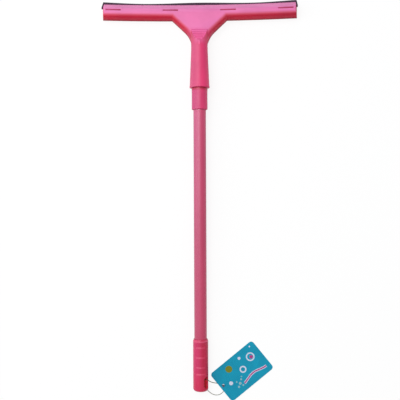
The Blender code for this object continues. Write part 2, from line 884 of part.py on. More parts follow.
def smooth_route(points, step):
    """Points at an even step along a smooth curve through a route."""
    fine = []
    inner = [points[0] * 2 - points[1], *points, points[-1] * 2 - points[-2]]
    samples = 24
    for a, b, c, d in zip(inner, inner[1:], inner[2:], inner[3:]):
        for i in range(samples):
            t = i / samples
            fine.append(0.5 * (2 * b + (c - a) * t + (2 * a - 5 * b + 4 * c - d) * t ** 2
                               + (3 * b - a - 3 * c + d) * t ** 3))
    fine.append(points[-1])
    total = sum((q - p).length for p, q in zip(fine, fine[1:]))
    count = max(round(total / step), 2)
    even = [fine[0]]
    walked = 0.0
    for p, q in zip(fine, fine[1:]):
        length = (q - p).length
        while len(even) < count and walked + length >= total * len(even) / count:
            even.append(p.lerp(q, (total * len(even) / count - walked) / length))
        walked += length
    even.append(fine[-1])
    return even


def make_loop():
    """Thin plastic loop through the hanging hole, with both ends in the tag's hole."""
    route = [from_grip_end(point) for point in loop_route]
    curve = bpy.data.curves.new("tag_loop", "CURVE")
    curve.dimensions = "3D"
    curve.bevel_depth = loop_diameter / 2
    curve.bevel_resolution = 2
    curve.use_fill_caps = True
    points = smooth_route(route, loop_step)
    spline = curve.splines.new("POLY")
    spline.points.add(len(points) - 1)
    for slot, point in zip(spline.points, points):
        slot.co = (*point, 1.0)
    curve.materials.append(loop_grey)
    item = bpy.data.objects.new("tag_loop", curve)
    parts.objects.link(item)
    return item


def make_knot():
    """Knot over the tag's hole, where the loop's two ends come up."""
    radius = knot_radius
    half = knot_height / 2
    profile = []
    for i in range(2 * fillet_steps + 1):
        angle = mix(math.pi / 2, -math.pi / 2, i / (2 * fillet_steps))
        profile.append((max(radius * math.cos(angle), 0.0), half + half * math.sin(angle)))
    profile[0] = (0.0, knot_height)
    profile[-1] = (0.0, 0.0)
    return turned("loop_knot", profile, loop_grey, steps=turn_steps // 3)


def make_tag():
    """Card with round corners and one hole, resting on the loop at its near end."""
    outline = rounded_rectangle(tag_length, tag_width, tag_corner_radius, 2 * fillet_steps)
    hole = []
    for i in range(turn_steps // 2):
        angle = i / (turn_steps // 2) * 2 * math.pi
        hole.append((tag_hole_place[0] + tag_hole_radius * math.cos(angle),
                     tag_hole_place[1] + tag_hole_radius * math.sin(angle)))
    tag = plate("hang_tag", [outline, hole], tag_thickness, tag_blue)
    tag.location = from_grip_end(tag_centre)
    tag.rotation_euler = (0.0, tag_tilt, tag_turn)
    knot = make_knot()
    knot.parent = tag
    knot.location = (*tag_hole_place, tag_thickness / 2 + seat_gap)
    return tag


make_head_shell()
make_clamp()
make_blade()
make_ferrule()
make_tube()
make_sleeve()
make_grip()
make_loop()
make_tag()
for item in parts.objects:
    if item.type == "MESH" and item.name not in ("head_shell", "blade_clamp", "blade", "hang_tag"):
        shade_round(item)
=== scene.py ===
"""Looks of a hand squeegee with a screw-on pole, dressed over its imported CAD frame.

Units are metres. +Z is up from the table, +Y runs from the grip to the rubber blade. Each
sub-assembly is a class that holds its sizes, builds its meshes and gives them their finish.
"""
import json
import logging
import math
from collections.abc import Callable
from dataclasses import dataclass
from enum import Enum

import bmesh
import bpy
from mathutils import Euler, Matrix, Vector


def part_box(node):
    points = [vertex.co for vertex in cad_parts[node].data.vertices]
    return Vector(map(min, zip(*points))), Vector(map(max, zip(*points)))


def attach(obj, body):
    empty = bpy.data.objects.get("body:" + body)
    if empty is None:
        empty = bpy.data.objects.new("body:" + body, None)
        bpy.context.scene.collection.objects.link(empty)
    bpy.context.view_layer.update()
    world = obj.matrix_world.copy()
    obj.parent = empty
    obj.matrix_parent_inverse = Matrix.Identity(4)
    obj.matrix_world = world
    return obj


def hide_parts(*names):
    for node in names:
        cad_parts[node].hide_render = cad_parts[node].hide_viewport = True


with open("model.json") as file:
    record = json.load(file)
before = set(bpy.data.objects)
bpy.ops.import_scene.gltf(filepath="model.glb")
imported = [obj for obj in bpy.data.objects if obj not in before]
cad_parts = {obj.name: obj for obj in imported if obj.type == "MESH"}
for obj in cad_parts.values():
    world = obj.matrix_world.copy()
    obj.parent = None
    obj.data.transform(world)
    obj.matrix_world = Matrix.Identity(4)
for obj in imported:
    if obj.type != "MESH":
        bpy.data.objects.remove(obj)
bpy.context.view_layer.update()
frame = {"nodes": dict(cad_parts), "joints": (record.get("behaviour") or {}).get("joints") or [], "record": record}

logging.basicConfig(level=logging.INFO, format="%(name)s: %(message)s")
log = logging.getLogger("squeegee")

MM = 0.001
UP = (0.0, 0.0, 1.0)

# Index of refraction of the plastics, and the range that most of a noise lies in.
PLASTIC_IOR = 1.5
NOISE_SPREAD = (0.3, 0.7)

# Limits for welding, cleaning, rounding and shading a mesh.
ON_AXIS = 0.001 * MM
WELD_GAP = 0.002 * MM
NODE_WELD_GAP = 0.05 * MM
SHORTEST_EDGE = 0.01 * MM
CORNER_SHARE = 0.45
CORNER_STEPS = 4
BEVEL_STEPS = 2
FLAT_ANGLE = math.radians(0.3)
EDGE_ANGLE = math.radians(32.0)

# A span holds where a change starts and ends, a relief its depth and its strength.
Colour = tuple[float, float, float]
Point = tuple[float, float, float]
Span = tuple[float, float]
Relief = tuple[float, float]
Profile = list[tuple[float, float]]
Socket = bpy.types.NodeSocket


class Body(Enum):
    """Rigid bodies of the frame that a piece can ride on."""

    HEAD = "head"
    FERRULE = "threaded_ferrule"
    POLE = "pole"


class Slot(Enum):
    """Names of the record's material slots."""

    HEAD = "head_plastic"
    CLAMP = "clamp_plastic"
    RUBBER = "blade_rubber"
    FERRULE = "ferrule_plastic"
    SLEEVE = "sleeve_plastic"
    GRIP = "grip_plastic"
    LOOP = "loop_plastic"


class NodeSheet:
    """Small builder for the node tree of one material."""

    def __init__(self, name: str) -> None:
        """Start a material with only its Principled shader.

        Args:
            name: Name of the material.
        """
        self.material = bpy.data.materials.new(name)
        self.material.use_nodes = True
        self.tree = self.material.node_tree
        self.shader = self.tree.nodes["Principled BSDF"]

    def node(self, kind: str, **settings: object) -> bpy.types.Node:
        """Add a node.

        Args:
            kind: Type of the node, without its ShaderNode prefix.
            settings: Properties of the node.

        Returns:
            The new node.
        """
        made = self.tree.nodes.new(f"ShaderNode{kind}")
        for key, value in settings.items():
            setattr(made, key, value)
        return made

    def link(self, source: Socket, target: Socket) -> None:
        """Join two sockets."""
        self.tree.links.new(source, target)

    def feed(self, target: Socket, value: object) -> None:
        """Link a socket to another one, or write a plain value on it.

        Args:
            target: The socket that is fed.
            value: A socket or a plain value.
        """
        if isinstance(value, Socket):
            self.link(value, target)
        else:
            target.default_value = value

    def plain(self, **values: object) -> None:
        """Write values that are the same all over on the shader's own sockets."""
        for key, value in values.items():
            self.shader.inputs[key.replace("_", " ")].default_value = value

    def place(self, location: Vector = Vector(), turn: Euler = Euler(),
              size: Vector = Vector((1, 1, 1))) -> Socket:
        """Object coordinates seen from a local frame.

        Args:
            location: Origin of the local frame.
            turn: Its rotation.
            size: Its scale along each axis.

        Returns:
            The vector socket of the local coordinates.
        """
        coordinates = self.node("TexCoord")
        mapping = self.node("Mapping", vector_type="TEXTURE")
        mapping.inputs["Location"].default_value = location
        mapping.inputs["Rotation"].default_value = turn
        mapping.inputs["Scale"].default_value = size
        self.link(coordinates.outputs["Object"], mapping.inputs["Vector"])
        return mapping.outputs["Vector"]

    def noise(self, vector: Socket, scale: float, detail: float = 2.0) -> Socket:
        """Noise from 0 to 1.

        Args:
            vector: Coordinates.
            scale: Waves per metre.
            detail: How many finer waves ride on them.

        Returns:
            The noise's socket.
        """
        made = self.node("TexNoise")
        made.inputs["Scale"].default_value = scale
        made.inputs["Detail"].default_value = detail
        self.link(vector, made.inputs["Vector"])
        return made.outputs["Fac"]

    def remap(self, value: object, low: float, high: float, new_low: float = 0.0,
              new_high: float = 1.0, smooth: bool = False) -> Socket:
        """Carry a value from one range to another, kept inside it.

        Args:
            value: The value.
            low: Where it starts.
            high: Where it ends.
            new_low: Result at the start.
            new_high: Result at the end.
            smooth: Whether the change eases in and out.

        Returns:
            The result's socket.
        """
        made = self.node("MapRange", interpolation_type="SMOOTHSTEP" if smooth else "LINEAR")
        self.feed(made.inputs["Value"], value)
        keys = ("From Min", "From Max", "To Min", "To Max")
        for key, number in zip(keys, (low, high, new_low, new_high)):
            made.inputs[key].default_value = number
        return made.outputs["Result"]

    def math(self, operation: str, *values: object) -> Socket:
        """Combine one, two or three values by arithmetic.

        Args:
            operation: What is worked out.
            values: Sockets or plain numbers.

        Returns:
            The result's socket.
        """
        made = self.node("Math", operation=operation)
        for index, value in enumerate(values):
            self.feed(made.inputs[index], value)
        return made.outputs["Value"]

    def split(self, vector: Socket) -> list[Socket]:
        """The X, Y and Z of a vector.

        Args:
            vector: The vector's socket.

        Returns:
            Its three sockets.
        """
        made = self.node("SeparateXYZ")
        self.link(vector, made.inputs["Vector"])
        return list(made.outputs)

    def length(self, vector: Socket, centre: Point, radii: Point) -> Socket:
        """Distance from a centre, 1 on the ellipsoid of the given radii.

        Args:
            vector: Coordinates.
            centre: The ellipsoid's centre.
            radii: Its radii.

        Returns:
            The distance's socket.
        """
        shifted = self.node("VectorMath", operation="SUBTRACT")
        self.link(vector, shifted.inputs[0])
        shifted.inputs[1].default_value = centre
        scaled = self.node("VectorMath", operation="DIVIDE")
        self.link(shifted.outputs["Vector"], scaled.inputs[0])
        scaled.inputs[1].default_value = radii
        made = self.node("VectorMath", operation="LENGTH")
        self.link(scaled.outputs["Vector"], made.inputs[0])
        return made.outputs["Value"]

    def blend(self, factor: object, low: object, high: object, kind: str = "MIX") -> Socket:
        """Mix two colours by a factor from 0 to 1.

        Args:
            factor: Share of the second colour.
            low: First colour.
            high: Second colour.
            kind: How the second one is laid over the first.

        Returns:
            The mixed colour's socket.
        """
        made = self.node("Mix", data_type="RGBA", blend_type=kind)
        self.feed(made.inputs["Factor"], factor)
        for name, value in (("A", low), ("B", high)):
            target = next(s for s in made.inputs if s.name == name and s.type == "RGBA")
            self.feed(target, (*value, 1.0) if isinstance(value, tuple) and len(value) == 3 else value)
        return next(s for s in made.outputs if s.type == "RGBA")

    def ramp(self, value: Socket, stops: tuple[tuple[float, Colour], ...]) -> Socket:
        """Colour of a value from 0 to 1 between the given stops.

        Args:
            value: The value.
            stops: Place and colour of each stop, in order.

        Returns:
            The colour's socket.
        """
        made = self.node("ValToRGB")
        elements = made.color_ramp.elements
        elements.remove(elements[1])
        elements[0].position = stops[0][0]
        elements[0].color = (*stops[0][1], 1.0)
        for place, colour in stops[1:]:
            elements.new(place).color = (*colour, 1.0)
        self.link(value, made.inputs["Fac"])
        return made.outputs["Color"]

    def attribute(self, name: str) -> Socket:
        """Share that an attribute of the piece's own mesh gives."""
        return self.node("Attribute", attribute_name=name).outputs["Fac"]

    def tint(self, colour: object, share: object, shade: object) -> Socket:
        """Colour multiplied by a shade, as far as a share from 0 to 1 says."""
        return self.blend(share, colour, shade, "MULTIPLY")

    def window(self, value: Socket, rise: Span, fall: Span) -> Socket:
        """Share of a window in a value, which comes and goes over a span at each of its ends."""
        return self.math("MINIMUM", self.remap(value, *rise), self.remap(value, *fall))

    def towards(self, direction: Point) -> Socket:
        """How far the surface faces a direction, from -1 to 1.

        Args:
            direction: The direction, of any length.

        Returns:
            The share's socket.
        """
        coordinates = self.node("TexCoord")
        made = self.node("VectorMath", operation="DOT_PRODUCT")
        self.link(coordinates.outputs["Normal"], made.inputs[0])
        made.inputs[1].default_value = Vector(direction).normalized()
        return made.outputs["Value"]

    def finish(self, colour: Socket, wear: Socket, dullness: Span, height: Socket, relief: Relief,
               **plain: object) -> bpy.types.Material:
        """Wire the colour, the roughness and the relief to the shader.

        Args:
            colour: Base colour.
            wear: Noise that the roughness follows.
            dullness: Roughness at the low and at the high end of that noise.
            height: Height field that raises the surface.
            relief: Its real depth and its strength.
            plain: Values that are the same all over.

        Returns:
            The finished material.
        """
        self.feed(self.shader.inputs["Base Color"], colour)
        self.feed(self.shader.inputs["Roughness"], self.remap(wear, *NOISE_SPREAD, *dullness))
        self.plain(**plain)
        bump = self.node("Bump")
        for key, value in zip(("Distance", "Strength", "Height"), (*relief, height)):
            self.feed(bump.inputs[key], value)
        self.link(bump.outputs["Normal"], self.shader.inputs["Normal"])
        return self.material


@dataclass(frozen=True)
class MouldedPlastic:
    """Satin moulded plastic with flow clouds and painted light, paler and cooler facing up and left."""

    name: str
    # side and top are the shaded and the lit copies of the skin colour, mixed as painted light.
    side: Colour
    top: Colour
    roughness: float = 0.42
    roughness_spread: Span = (-0.04, 0.05)
    specular: float = 0.12
    grain_scale: float = 2600.0
    grain_share: float = 0.35
    grain_relief: Relief = (0.010 * MM, 0.6)
    ripple_scale: float = 210.0
    ripple_detail: float = 1.0
    cloud_scale: float = 38.0
    cloud_detail: float = 3.0
    cloud_stretch: Point = (1.0, 1.0, 1.0)
    cloud_spread: Span = (0.32, 0.68)
    cloud_range: Span = (0.95, 1.04)
    # Direction that the painted light comes from, and the facing over which the skin turns from side to top.
    painted_light_from: Point = (-0.766, 0.0, 0.643)
    painted_light_range: Span = (0.40, 0.97)
    drift: Colour = (0.5, 0.05, 0.1)
    drift_range: Span = (0.0, -1.0)
    drift_share: float = 0.0

    def colour(self, sheet: NodeSheet) -> Socket:
        """Skin colour before its clouds: painted light from side to lit top, drifting along the handle.

        Args:
            sheet: Sheet of the material.

        Returns:
            The colour's socket.
        """
        skin = sheet.blend(sheet.remap(sheet.towards(self.painted_light_from), *self.painted_light_range), self.side, self.top)
        along = sheet.split(sheet.place())[1]
        share = sheet.remap(along, *self.drift_range, 0.0, self.drift_share)
        return sheet.blend(share, skin, self.drift)

    def gloss(self, sheet: NodeSheet) -> object:
        """Specular level of the skin."""
        return self.specular

    def make(self) -> bpy.types.Material:
        """Build the material.

        Returns:
            The finished material.
        """
        sheet = NodeSheet(self.name)
        stretched = sheet.place(size=Vector(self.cloud_stretch))
        cloud = sheet.noise(stretched, self.cloud_scale, self.cloud_detail)
        grain = sheet.noise(sheet.place(), self.grain_scale)
        ripple = sheet.noise(sheet.place(), self.ripple_scale, self.ripple_detail)
        clouds = sheet.remap(cloud, *self.cloud_spread, *self.cloud_range)
        dullness = tuple(self.roughness + change for change in self.roughness_spread)
        height = sheet.math("ADD", sheet.math("MULTIPLY", grain, self.grain_share), ripple)
        sheet.feed(sheet.shader.inputs["Specular IOR Level"], self.gloss(sheet))
        return sheet.finish(sheet.tint(self.colour(sheet), 1.0, clouds), ripple, dullness, height,
                            self.grain_relief, IOR=PLASTIC_IOR)


@dataclass(frozen=True)
class HeadPlastic(MouldedPlastic):
    """The head's plastic with painted light: lilac facing the light, deep red on walls, paler at the jaw.

    The walls take painted shade, deeper towards their foot and towards the far end of the bar. The ramp
    between the face and the socket and the small tick above it are lighter with painted light, and the
    ramp's grooves are deeper with painted shade.
    """

    # Painted light: direction that lilac faces turn to, and the facing spread over the stops below.
    painted_sky_light: Point = (0.0, 0.55, 0.835)
    painted_sky_light_range: Span = (-0.2, 1.0)
    stops: tuple[tuple[float, Colour], ...] = (
        (0.05, (0.680, 0.009, 0.052)),
        (0.31, (0.690, 0.046, 0.088)),
        (0.54, (0.730, 0.092, 0.168)),
        (0.72, (0.765, 0.146, 0.285)),
        (0.86, (0.800, 0.179, 0.430)),
        (0.96, (0.720, 0.212, 0.450)),
    )
    neck_lip: Span = (228.0 * MM, 234.0 * MM)
    ribs_end: Span = (245.0 * MM, 257.0 * MM)
    ribs_share: float = 0.45
    # Painted shade in the ramp's grooves.
    groove_painted_shade: Colour = (0.78, 0.55, 0.66)
    # Painted light on the ramp, which faces the lamps, and a painted highlight on the tick above it.
    ramp_facing: Span = (0.90, 0.935)
    ramp_top: Span = (234.0 * MM, 236.0 * MM)
    ramp_foot: Span = (254.2 * MM, 253.2 * MM)
    ramp_painted_light: Colour = (1.20, 1.08, 1.22)
    tick_side: Span = (1.2 * MM, 0.6 * MM)
    tick_low: Span = (227.8 * MM, 228.8 * MM)
    tick_high: Span = (234.2 * MM, 233.2 * MM)
    tick_painted_highlight: Colour = (1.25, 1.70, 1.50)
    # Painted shade on the walls towards the far end of the bar, and a painted shadow at their foot.
    far_end: Span = (70.0 * MM, 150.0 * MM)
    walls: Span = (0.56, 0.40)
    far_painted_shade: Colour = (0.84, 0.78, 0.82)
    foot: Span = (7.5 * MM, 3.0 * MM)
    foot_painted_shadow: Colour = (0.68, 0.62, 0.64)
    upward_range: Span = (0.2, 0.9)
    wall_gloss: float = 0.04
    neck_gloss: float = 0.32

    def colour(self, sheet: NodeSheet) -> Socket:
        """Painted light by the way that the skin faces, with the head's painted shade and highlights.

        Args:
            sheet: Sheet of the material.

        Returns:
            The colour's socket.
        """
        facing = sheet.remap(sheet.towards(self.painted_sky_light), *self.painted_sky_light_range)
        across, along, height = sheet.split(sheet.place())
        rise = sheet.remap(along, *self.neck_lip, 0.0, self.ribs_share)
        share = sheet.math("ADD", rise, sheet.remap(along, *self.ribs_end, 0.0, 1.0 - self.ribs_share))
        skin = sheet.blend(share, super().colour(sheet), sheet.ramp(facing, self.stops))
        wall = sheet.remap(facing, *self.walls)
        far = sheet.math("MULTIPLY", wall, sheet.remap(across, *self.far_end))
        foot = sheet.math("MULTIPLY", wall, sheet.remap(height, *self.foot))
        sloping = sheet.remap(facing, *self.ramp_facing)
        ramp = sheet.math("MULTIPLY", sloping, sheet.window(along, self.ramp_top, self.ramp_foot))
        beside = sheet.remap(sheet.math("ABSOLUTE", across), *self.tick_side)
        tick = sheet.math("MINIMUM", sheet.window(along, self.tick_low, self.tick_high), beside)
        # Painted shade on the far walls, then a painted shadow at the walls' foot.
        skin = sheet.tint(skin, far, self.far_painted_shade)
        skin = sheet.tint(skin, foot, self.foot_painted_shadow)
        # Painted light on the ramp and a painted highlight on the tick.
        skin = sheet.tint(skin, ramp, self.ramp_painted_light)
        skin = sheet.tint(skin, tick, self.tick_painted_highlight)
        # Painted shade in the grooves, by their depth.
        return sheet.tint(skin, sheet.attribute("groove"), self.groove_painted_shade)

    def gloss(self, sheet: NodeSheet) -> object:
        """Specular level, low on the walls and higher down the neck.

        Args:
            sheet: Sheet of the material.

        Returns:
            The level's socket.
        """
        along = sheet.split(sheet.place())[1]
        upward = sheet.remap(sheet.towards(UP), *self.upward_range, self.wall_gloss, self.specular)
        return sheet.math("MAXIMUM", upward, sheet.remap(along, *self.neck_lip, self.neck_gloss, 0.0))


@dataclass(frozen=True)
class CollarPlastic(MouldedPlastic):
    """The ferrule's plastic, with painted shade in a narrow band where its shoulder meets the socket."""

    # Painted shade below the socket's rim, fading down the collar.
    shoulder_painted_shade: Colour = (0.44, 0.010, 0.040)
    band_fade: Span = (158.2 * MM, 162.2 * MM)
    band_end: Span = (164.0 * MM, 164.4 * MM)
    band_share: float = 0.85

    def colour(self, sheet: NodeSheet) -> Socket:
        """Colour of the skin with its band of painted shade.

        Args:
            sheet: Sheet of the material.

        Returns:
            The colour's socket.
        """
        along = sheet.split(sheet.place())[1]
        start = sheet.remap(along, *self.band_fade, 0.0, self.band_share)
        end = sheet.remap(along, *self.band_end, self.band_share, 0.0)
        return sheet.blend(sheet.math("MINIMUM", start, end), super().colour(sheet), self.shoulder_painted_shade)


@dataclass(frozen=True)
class GripPlastic(MouldedPlastic):
    """The grip's plastic: painted highlight on its ridges, painted red glow inside its hanging hole."""

    # Painted highlight on the rim's bead and the steps' crests.
    ridge_highlight: Colour = (0.78, 0.100, 0.210)
    # Painted glow: brighter, deeper red on the walls of the hanging hole.
    glow: Colour = (0.76, 0.040, 0.060)

    def colour(self, sheet: NodeSheet) -> Socket:
        """Colour of the skin, with painted highlight on its ridges and painted glow on its hole's walls."""
        skin = sheet.blend(sheet.attribute("ridge"), super().colour(sheet), self.ridge_highlight)
        return sheet.blend(sheet.attribute("hollow"), skin, self.glow)


@dataclass(frozen=True)
class DarkRubber:
    """Soft dark rubber with a bloomed, slightly mottled skin."""

    name: str
    colour: Colour
    bloom: Colour
    bloom_spread: Span = (0.42, 0.72)
    mottle_scale: float = 180.0
    mottle_detail: float = 4.0
    mottle_stretch: Point = (4.0, 1.0, 1.0)
    grain_scale: float = 1900.0
    grain_relief: Relief = (0.015 * MM, 0.7)
    dullness: Span = (0.50, 0.64)
    specular: float = 0.10

    def make(self) -> bpy.types.Material:
        """Build the material.

        Returns:
            The finished material.
        """
        sheet = NodeSheet(self.name)
        stretched = sheet.place(size=Vector(self.mottle_stretch))
        mottle = sheet.noise(stretched, self.mottle_scale, self.mottle_detail)
        grain = sheet.noise(sheet.place(), self.grain_scale)
        bloomed = sheet.blend(sheet.remap(mottle, *self.bloom_spread), self.colour, self.bloom)
        return sheet.finish(bloomed, mottle, self.dullness, grain, self.grain_relief,
                            IOR=PLASTIC_IOR, Specular_IOR_Level=self.specular)


@dataclass(frozen=True)
class DrawnSteel:
    """Thin-walled steel tube with fine drawing lines along its length."""

    name: str
    colour: Colour = (0.62, 0.63, 0.65)
    dull_share: float = 0.8
    line_scale: float = 1800.0
    line_stretch: Point = (1.0, 60.0, 1.0)
    line_relief: Relief = (0.006 * MM, 0.5)
    dullness: Span = (0.22, 0.38)

    def make(self) -> bpy.types.Material:
        """Build the material.

        Returns:
            The finished material.
        """
        sheet = NodeSheet(self.name)
        lines = sheet.noise(sheet.place(size=Vector(self.line_stretch)), self.line_scale)
        dull = tuple(self.dull_share * part for part in self.colour)
        drawn = sheet.blend(lines, dull, self.colour)
        return sheet.finish(drawn, lines, self.dullness, lines, self.line_relief, Metallic=1.0)


@dataclass(frozen=True)
class Strand:
    """Drawn plastic strand, dull and pale, darker on its way up to the hole."""

    name: str
    pale: Colour
    dark: Colour
    turning: Span = (-299.0 * MM, -293.0 * MM)
    streak_scale: float = 260.0
    streak_detail: float = 3.0
    streak_range: Span = (0.85, 1.1)
    streak_relief: Relief = (0.01 * MM, 0.5)
    dullness: Span = (0.30, 0.45)
    ior: float = 1.49
    specular: float = 0.3

    def make(self) -> bpy.types.Material:
        """Build the material.

        Returns:
            The finished material.
        """
        sheet = NodeSheet(self.name)
        streak = sheet.noise(sheet.place(), self.streak_scale, self.streak_detail)
        along = sheet.split(sheet.place())[1]
        colour = sheet.blend(sheet.remap(along, *self.turning, smooth=True), self.pale, self.dark)
        streaked = sheet.tint(colour, 1.0, sheet.remap(streak, *NOISE_SPREAD, *self.streak_range))
        return sheet.finish(streaked, streak, self.dullness, streak, self.streak_relief,
                            IOR=self.ior, Specular_IOR_Level=self.specular)


@dataclass(frozen=True)
class PrintedCard:
    """Teal printed card with bubbles, a ribbon and a few drops in a plain generic layout."""

    name: str
    centre: Vector
    turn: Euler
    blue: Colour = (0.008, 0.325, 0.490)
    deep: Colour = (0.008, 0.275, 0.425)
    pale: Colour = (0.62, 0.66, 0.80)
    magenta: Colour = (0.42, 0.05, 0.22)
    foam: Colour = (0.26, 0.46, 0.52)
    olive: Colour = (0.20, 0.22, 0.020)
    stock: Colour = (0.72, 0.78, 0.80)
    cloud_scale: float = 60.0
    fibre_scale: float = 1500.0
    detail: float = 3.0
    fibre_relief: Relief = (0.01 * MM, 0.5)
    dullness: Span = (0.34, 0.46)
    specular: float = 0.15
    ribbon_centre: float = 13.0 * MM
    ribbon_end: Span = (22.0 * MM, 21.0 * MM)
    ribbon_wave: float = 46.0 * MM
    ribbon_sway: float = 2.2 * MM
    ribbon_drop: float = -15.0 * MM
    ribbon_half_width: float = 2.1 * MM
    ribbon_hem: float = 1.0 * MM
    ribbon_fade: float = 0.3 * MM
    bubble_fade: Span = (1.0, 0.92)

    def make(self) -> bpy.types.Material:
        """Build the material.

        Returns:
            The finished material.
        """
        sheet = NodeSheet(self.name)
        card = sheet.place(location=self.centre, turn=self.turn)
        x, y, z = sheet.split(card)
        cloud = sheet.noise(card, self.cloud_scale, self.detail)
        fibre = sheet.noise(card, self.fibre_scale, self.detail)
        colour = sheet.blend(sheet.remap(cloud, *NOISE_SPREAD), self.deep, self.blue)
        colour = self.ribbon(sheet, x, y, colour)
        colour = self.bubbles(sheet, card, colour)
        colour = sheet.blend(sheet.math("GREATER_THAN", z, 0.0), self.stock, colour)
        return sheet.finish(colour, fibre, self.dullness, fibre, self.fibre_relief,
                            IOR=PLASTIC_IOR, Specular_IOR_Level=self.specular)

    def ribbon(self, sheet: NodeSheet, x: Socket, y: Socket, under: Socket) -> Socket:
        """A swaying magenta ribbon with pale edges, between two ends of the card.

        Args:
            sheet: Sheet of the material.
            x: Place along the card.
            y: Place across it.
            under: Colour that it lies on.

        Returns:
            The colour's socket.
        """
        sway = sheet.math("SINE", sheet.math("MULTIPLY", x, 2 * math.pi / self.ribbon_wave))
        middle = sheet.math("MULTIPLY_ADD", sway, self.ribbon_sway, self.ribbon_drop)
        away = sheet.math("ABSOLUTE", sheet.math("SUBTRACT", y, middle))
        reach = sheet.math("ABSOLUTE", sheet.math("SUBTRACT", x, self.ribbon_centre))
        within = sheet.remap(reach, *self.ribbon_end, smooth=True)
        colour = under
        half = self.ribbon_half_width
        for edge, ink in ((half, self.pale), (half - self.ribbon_hem, self.magenta)):
            band = sheet.remap(away, edge, edge - self.ribbon_fade, smooth=True)
            colour = sheet.blend(sheet.math("MULTIPLY", within, band), colour, ink)
        return colour

    def bubbles(self, sheet: NodeSheet, card: Socket, under: Socket) -> Socket:
        """Round motifs: pale bubbles with coloured cores, and one dull yellow disc.

        Args:
            sheet: Sheet of the material.
            card: Coordinates on the card.
            under: Colour that they lie on.

        Returns:
            The colour's socket.
        """
        colour = under
        rows = (
            ((24, 9), 7.0, self.pale), ((24, 9), 5.0, self.blue), ((25, 8), 2.8, self.magenta),
            ((3, 1), 5.6, self.pale), ((3, 1), 3.4, self.deep), ((-14, 15), 5.6, self.olive),
            ((-25, -4), 3.2, self.pale), ((9, 18), 2.4, self.pale), ((33, 22), 1.4, self.pale),
            ((-9, -9), 1.6, self.foam), ((-14, -13), 2.3, self.foam), ((-19, -16), 1.8, self.foam),
            ((-12, -18), 1.5, self.foam), ((-6, -6), 1.1, self.foam), ((-17, -8), 1.3, self.foam),
        )
        for (across, up), radius, ink in rows:
            away = sheet.length(card, (across * MM, up * MM, 0.0), (radius * MM, radius * MM, 1.0))
            inside = sheet.remap(away, *self.bubble_fade, smooth=True)
            colour = sheet.blend(inside, colour, ink)
        return colour


class ShapeTree:
    """Small builder for one Geometry Nodes tree with named sizes."""

    def __init__(self, name: str) -> None:
        """Start a tree with only its shape going in and out.

        Args:
            name: Name of the tree and of the piece that it makes.
        """
        self.name = name
        self.tree = bpy.data.node_groups.new(name, "GeometryNodeTree")
        for way in ("INPUT", "OUTPUT"):
            self.tree.interface.new_socket("Shape", in_out=way, socket_type="NodeSocketGeometry")
        self.source = self.tree.nodes.new("NodeGroupInput")
        self.target = self.tree.nodes.new("NodeGroupOutput")
        self.sizes: dict[str, object] = {}

    def size(self, name: str, value: int | float | Vector) -> Socket:
        """Add a named input, with the value that the piece gives it.

        Args:
            name: Name of the input.
            value: The value.

        Returns:
            The socket that carries it into the tree.
        """
        kinds = {int: "NodeSocketInt", float: "NodeSocketFloat", Vector: "NodeSocketVector"}
        made = self.tree.interface.new_socket(name, in_out="INPUT", socket_type=kinds[type(value)])
        self.sizes[made.identifier] = value
        return self.source.outputs[name]

    def node(self, kind: str, feeds: dict[str | int, object], **settings: object) -> Socket:
        """Add a node and feed its inputs.

        Args:
            kind: Type of the node.
            feeds: Sockets or plain values for its inputs.
            settings: Properties of the node.

        Returns:
            Its first output.
        """
        made = self.tree.nodes.new(kind)
        for key, value in settings.items():
            setattr(made, key, value)
        for key, value in feeds.items():
            if isinstance(value, Socket):
                self.tree.links.new(value, made.inputs[key])
            else:
                made.inputs[key].default_value = value
        return made.outputs[0]

    def math(self, operation: str, *values: object) -> Socket:
        """Combine one, two or three values."""
        return self.node("ShaderNodeMath", dict(enumerate(values)), operation=operation)

    def bake(self, shape: Socket, material: bpy.types.Material) -> bpy.types.Object:
        """Turn the tree's shape into a plain mesh object.

        Args:
            shape: Socket of the finished shape.
            material: Material that the tree sets on it.

        Returns:
            The object, at the origin and without modifiers.
        """
        real = self.node("GeometryNodeRealizeInstances", {"Geometry": shape})
        dressed = self.node("GeometryNodeSetMaterial", {"Geometry": real, "Material": material})
        self.tree.links.new(dressed, self.target.inputs["Shape"])
        item = new_object(self.name, bpy.data.meshes.new(self.name))
        modifier = item.modifiers.new("shape", "NODES")
        modifier.node_group = self.tree
        for identifier, value in self.sizes.items():
            modifier[identifier] = value
        return flatten(item)


def new_object(name: str, data: bpy.types.ID) -> bpy.types.Object:
    """Put an object into the scene.

    Args:
        name: Name of the object.
        data: Its mesh, curve, lamp or camera.

    Returns:
        The object.
    """
    item = bpy.data.objects.new(name, data)
    bpy.context.scene.collection.objects.link(item)
    return item


def object_of(name: str, body: bmesh.types.BMesh, place: Matrix = Matrix()) -> bpy.types.Object:
    """Mesh object of a finished closed body, with its faces outward and its place in its mesh.

    Args:
        name: Name of the object.
        body: The body, which is used up.
        place: Matrix that carries it into the frame.

    Returns:
        The object.
    """
    bmesh.ops.recalc_face_normals(body, faces=body.faces[:])
    body.transform(place)
    mesh = bpy.data.meshes.new(name)
    body.to_mesh(mesh)
    body.free()
    return new_object(name, mesh)


def flatten(item: bpy.types.Object) -> bpy.types.Object:
    """Turn an object and its modifiers into a plain mesh, welded and with its faces outward.

    Args:
        item: A mesh or curve object at the origin, which is used up.

    Returns:
        The plain mesh object of the same name.
    """
    graph = bpy.context.evaluated_depsgraph_get()
    mesh = bpy.data.meshes.new_from_object(item.evaluated_get(graph))
    name = item.name
    bpy.data.objects.remove(item, do_unlink=True)
    body = bmesh.new()
    body.from_mesh(mesh)
    bpy.data.meshes.remove(mesh)
    bmesh.ops.remove_doubles(body, verts=body.verts[:], dist=WELD_GAP)
    return object_of(name, body)


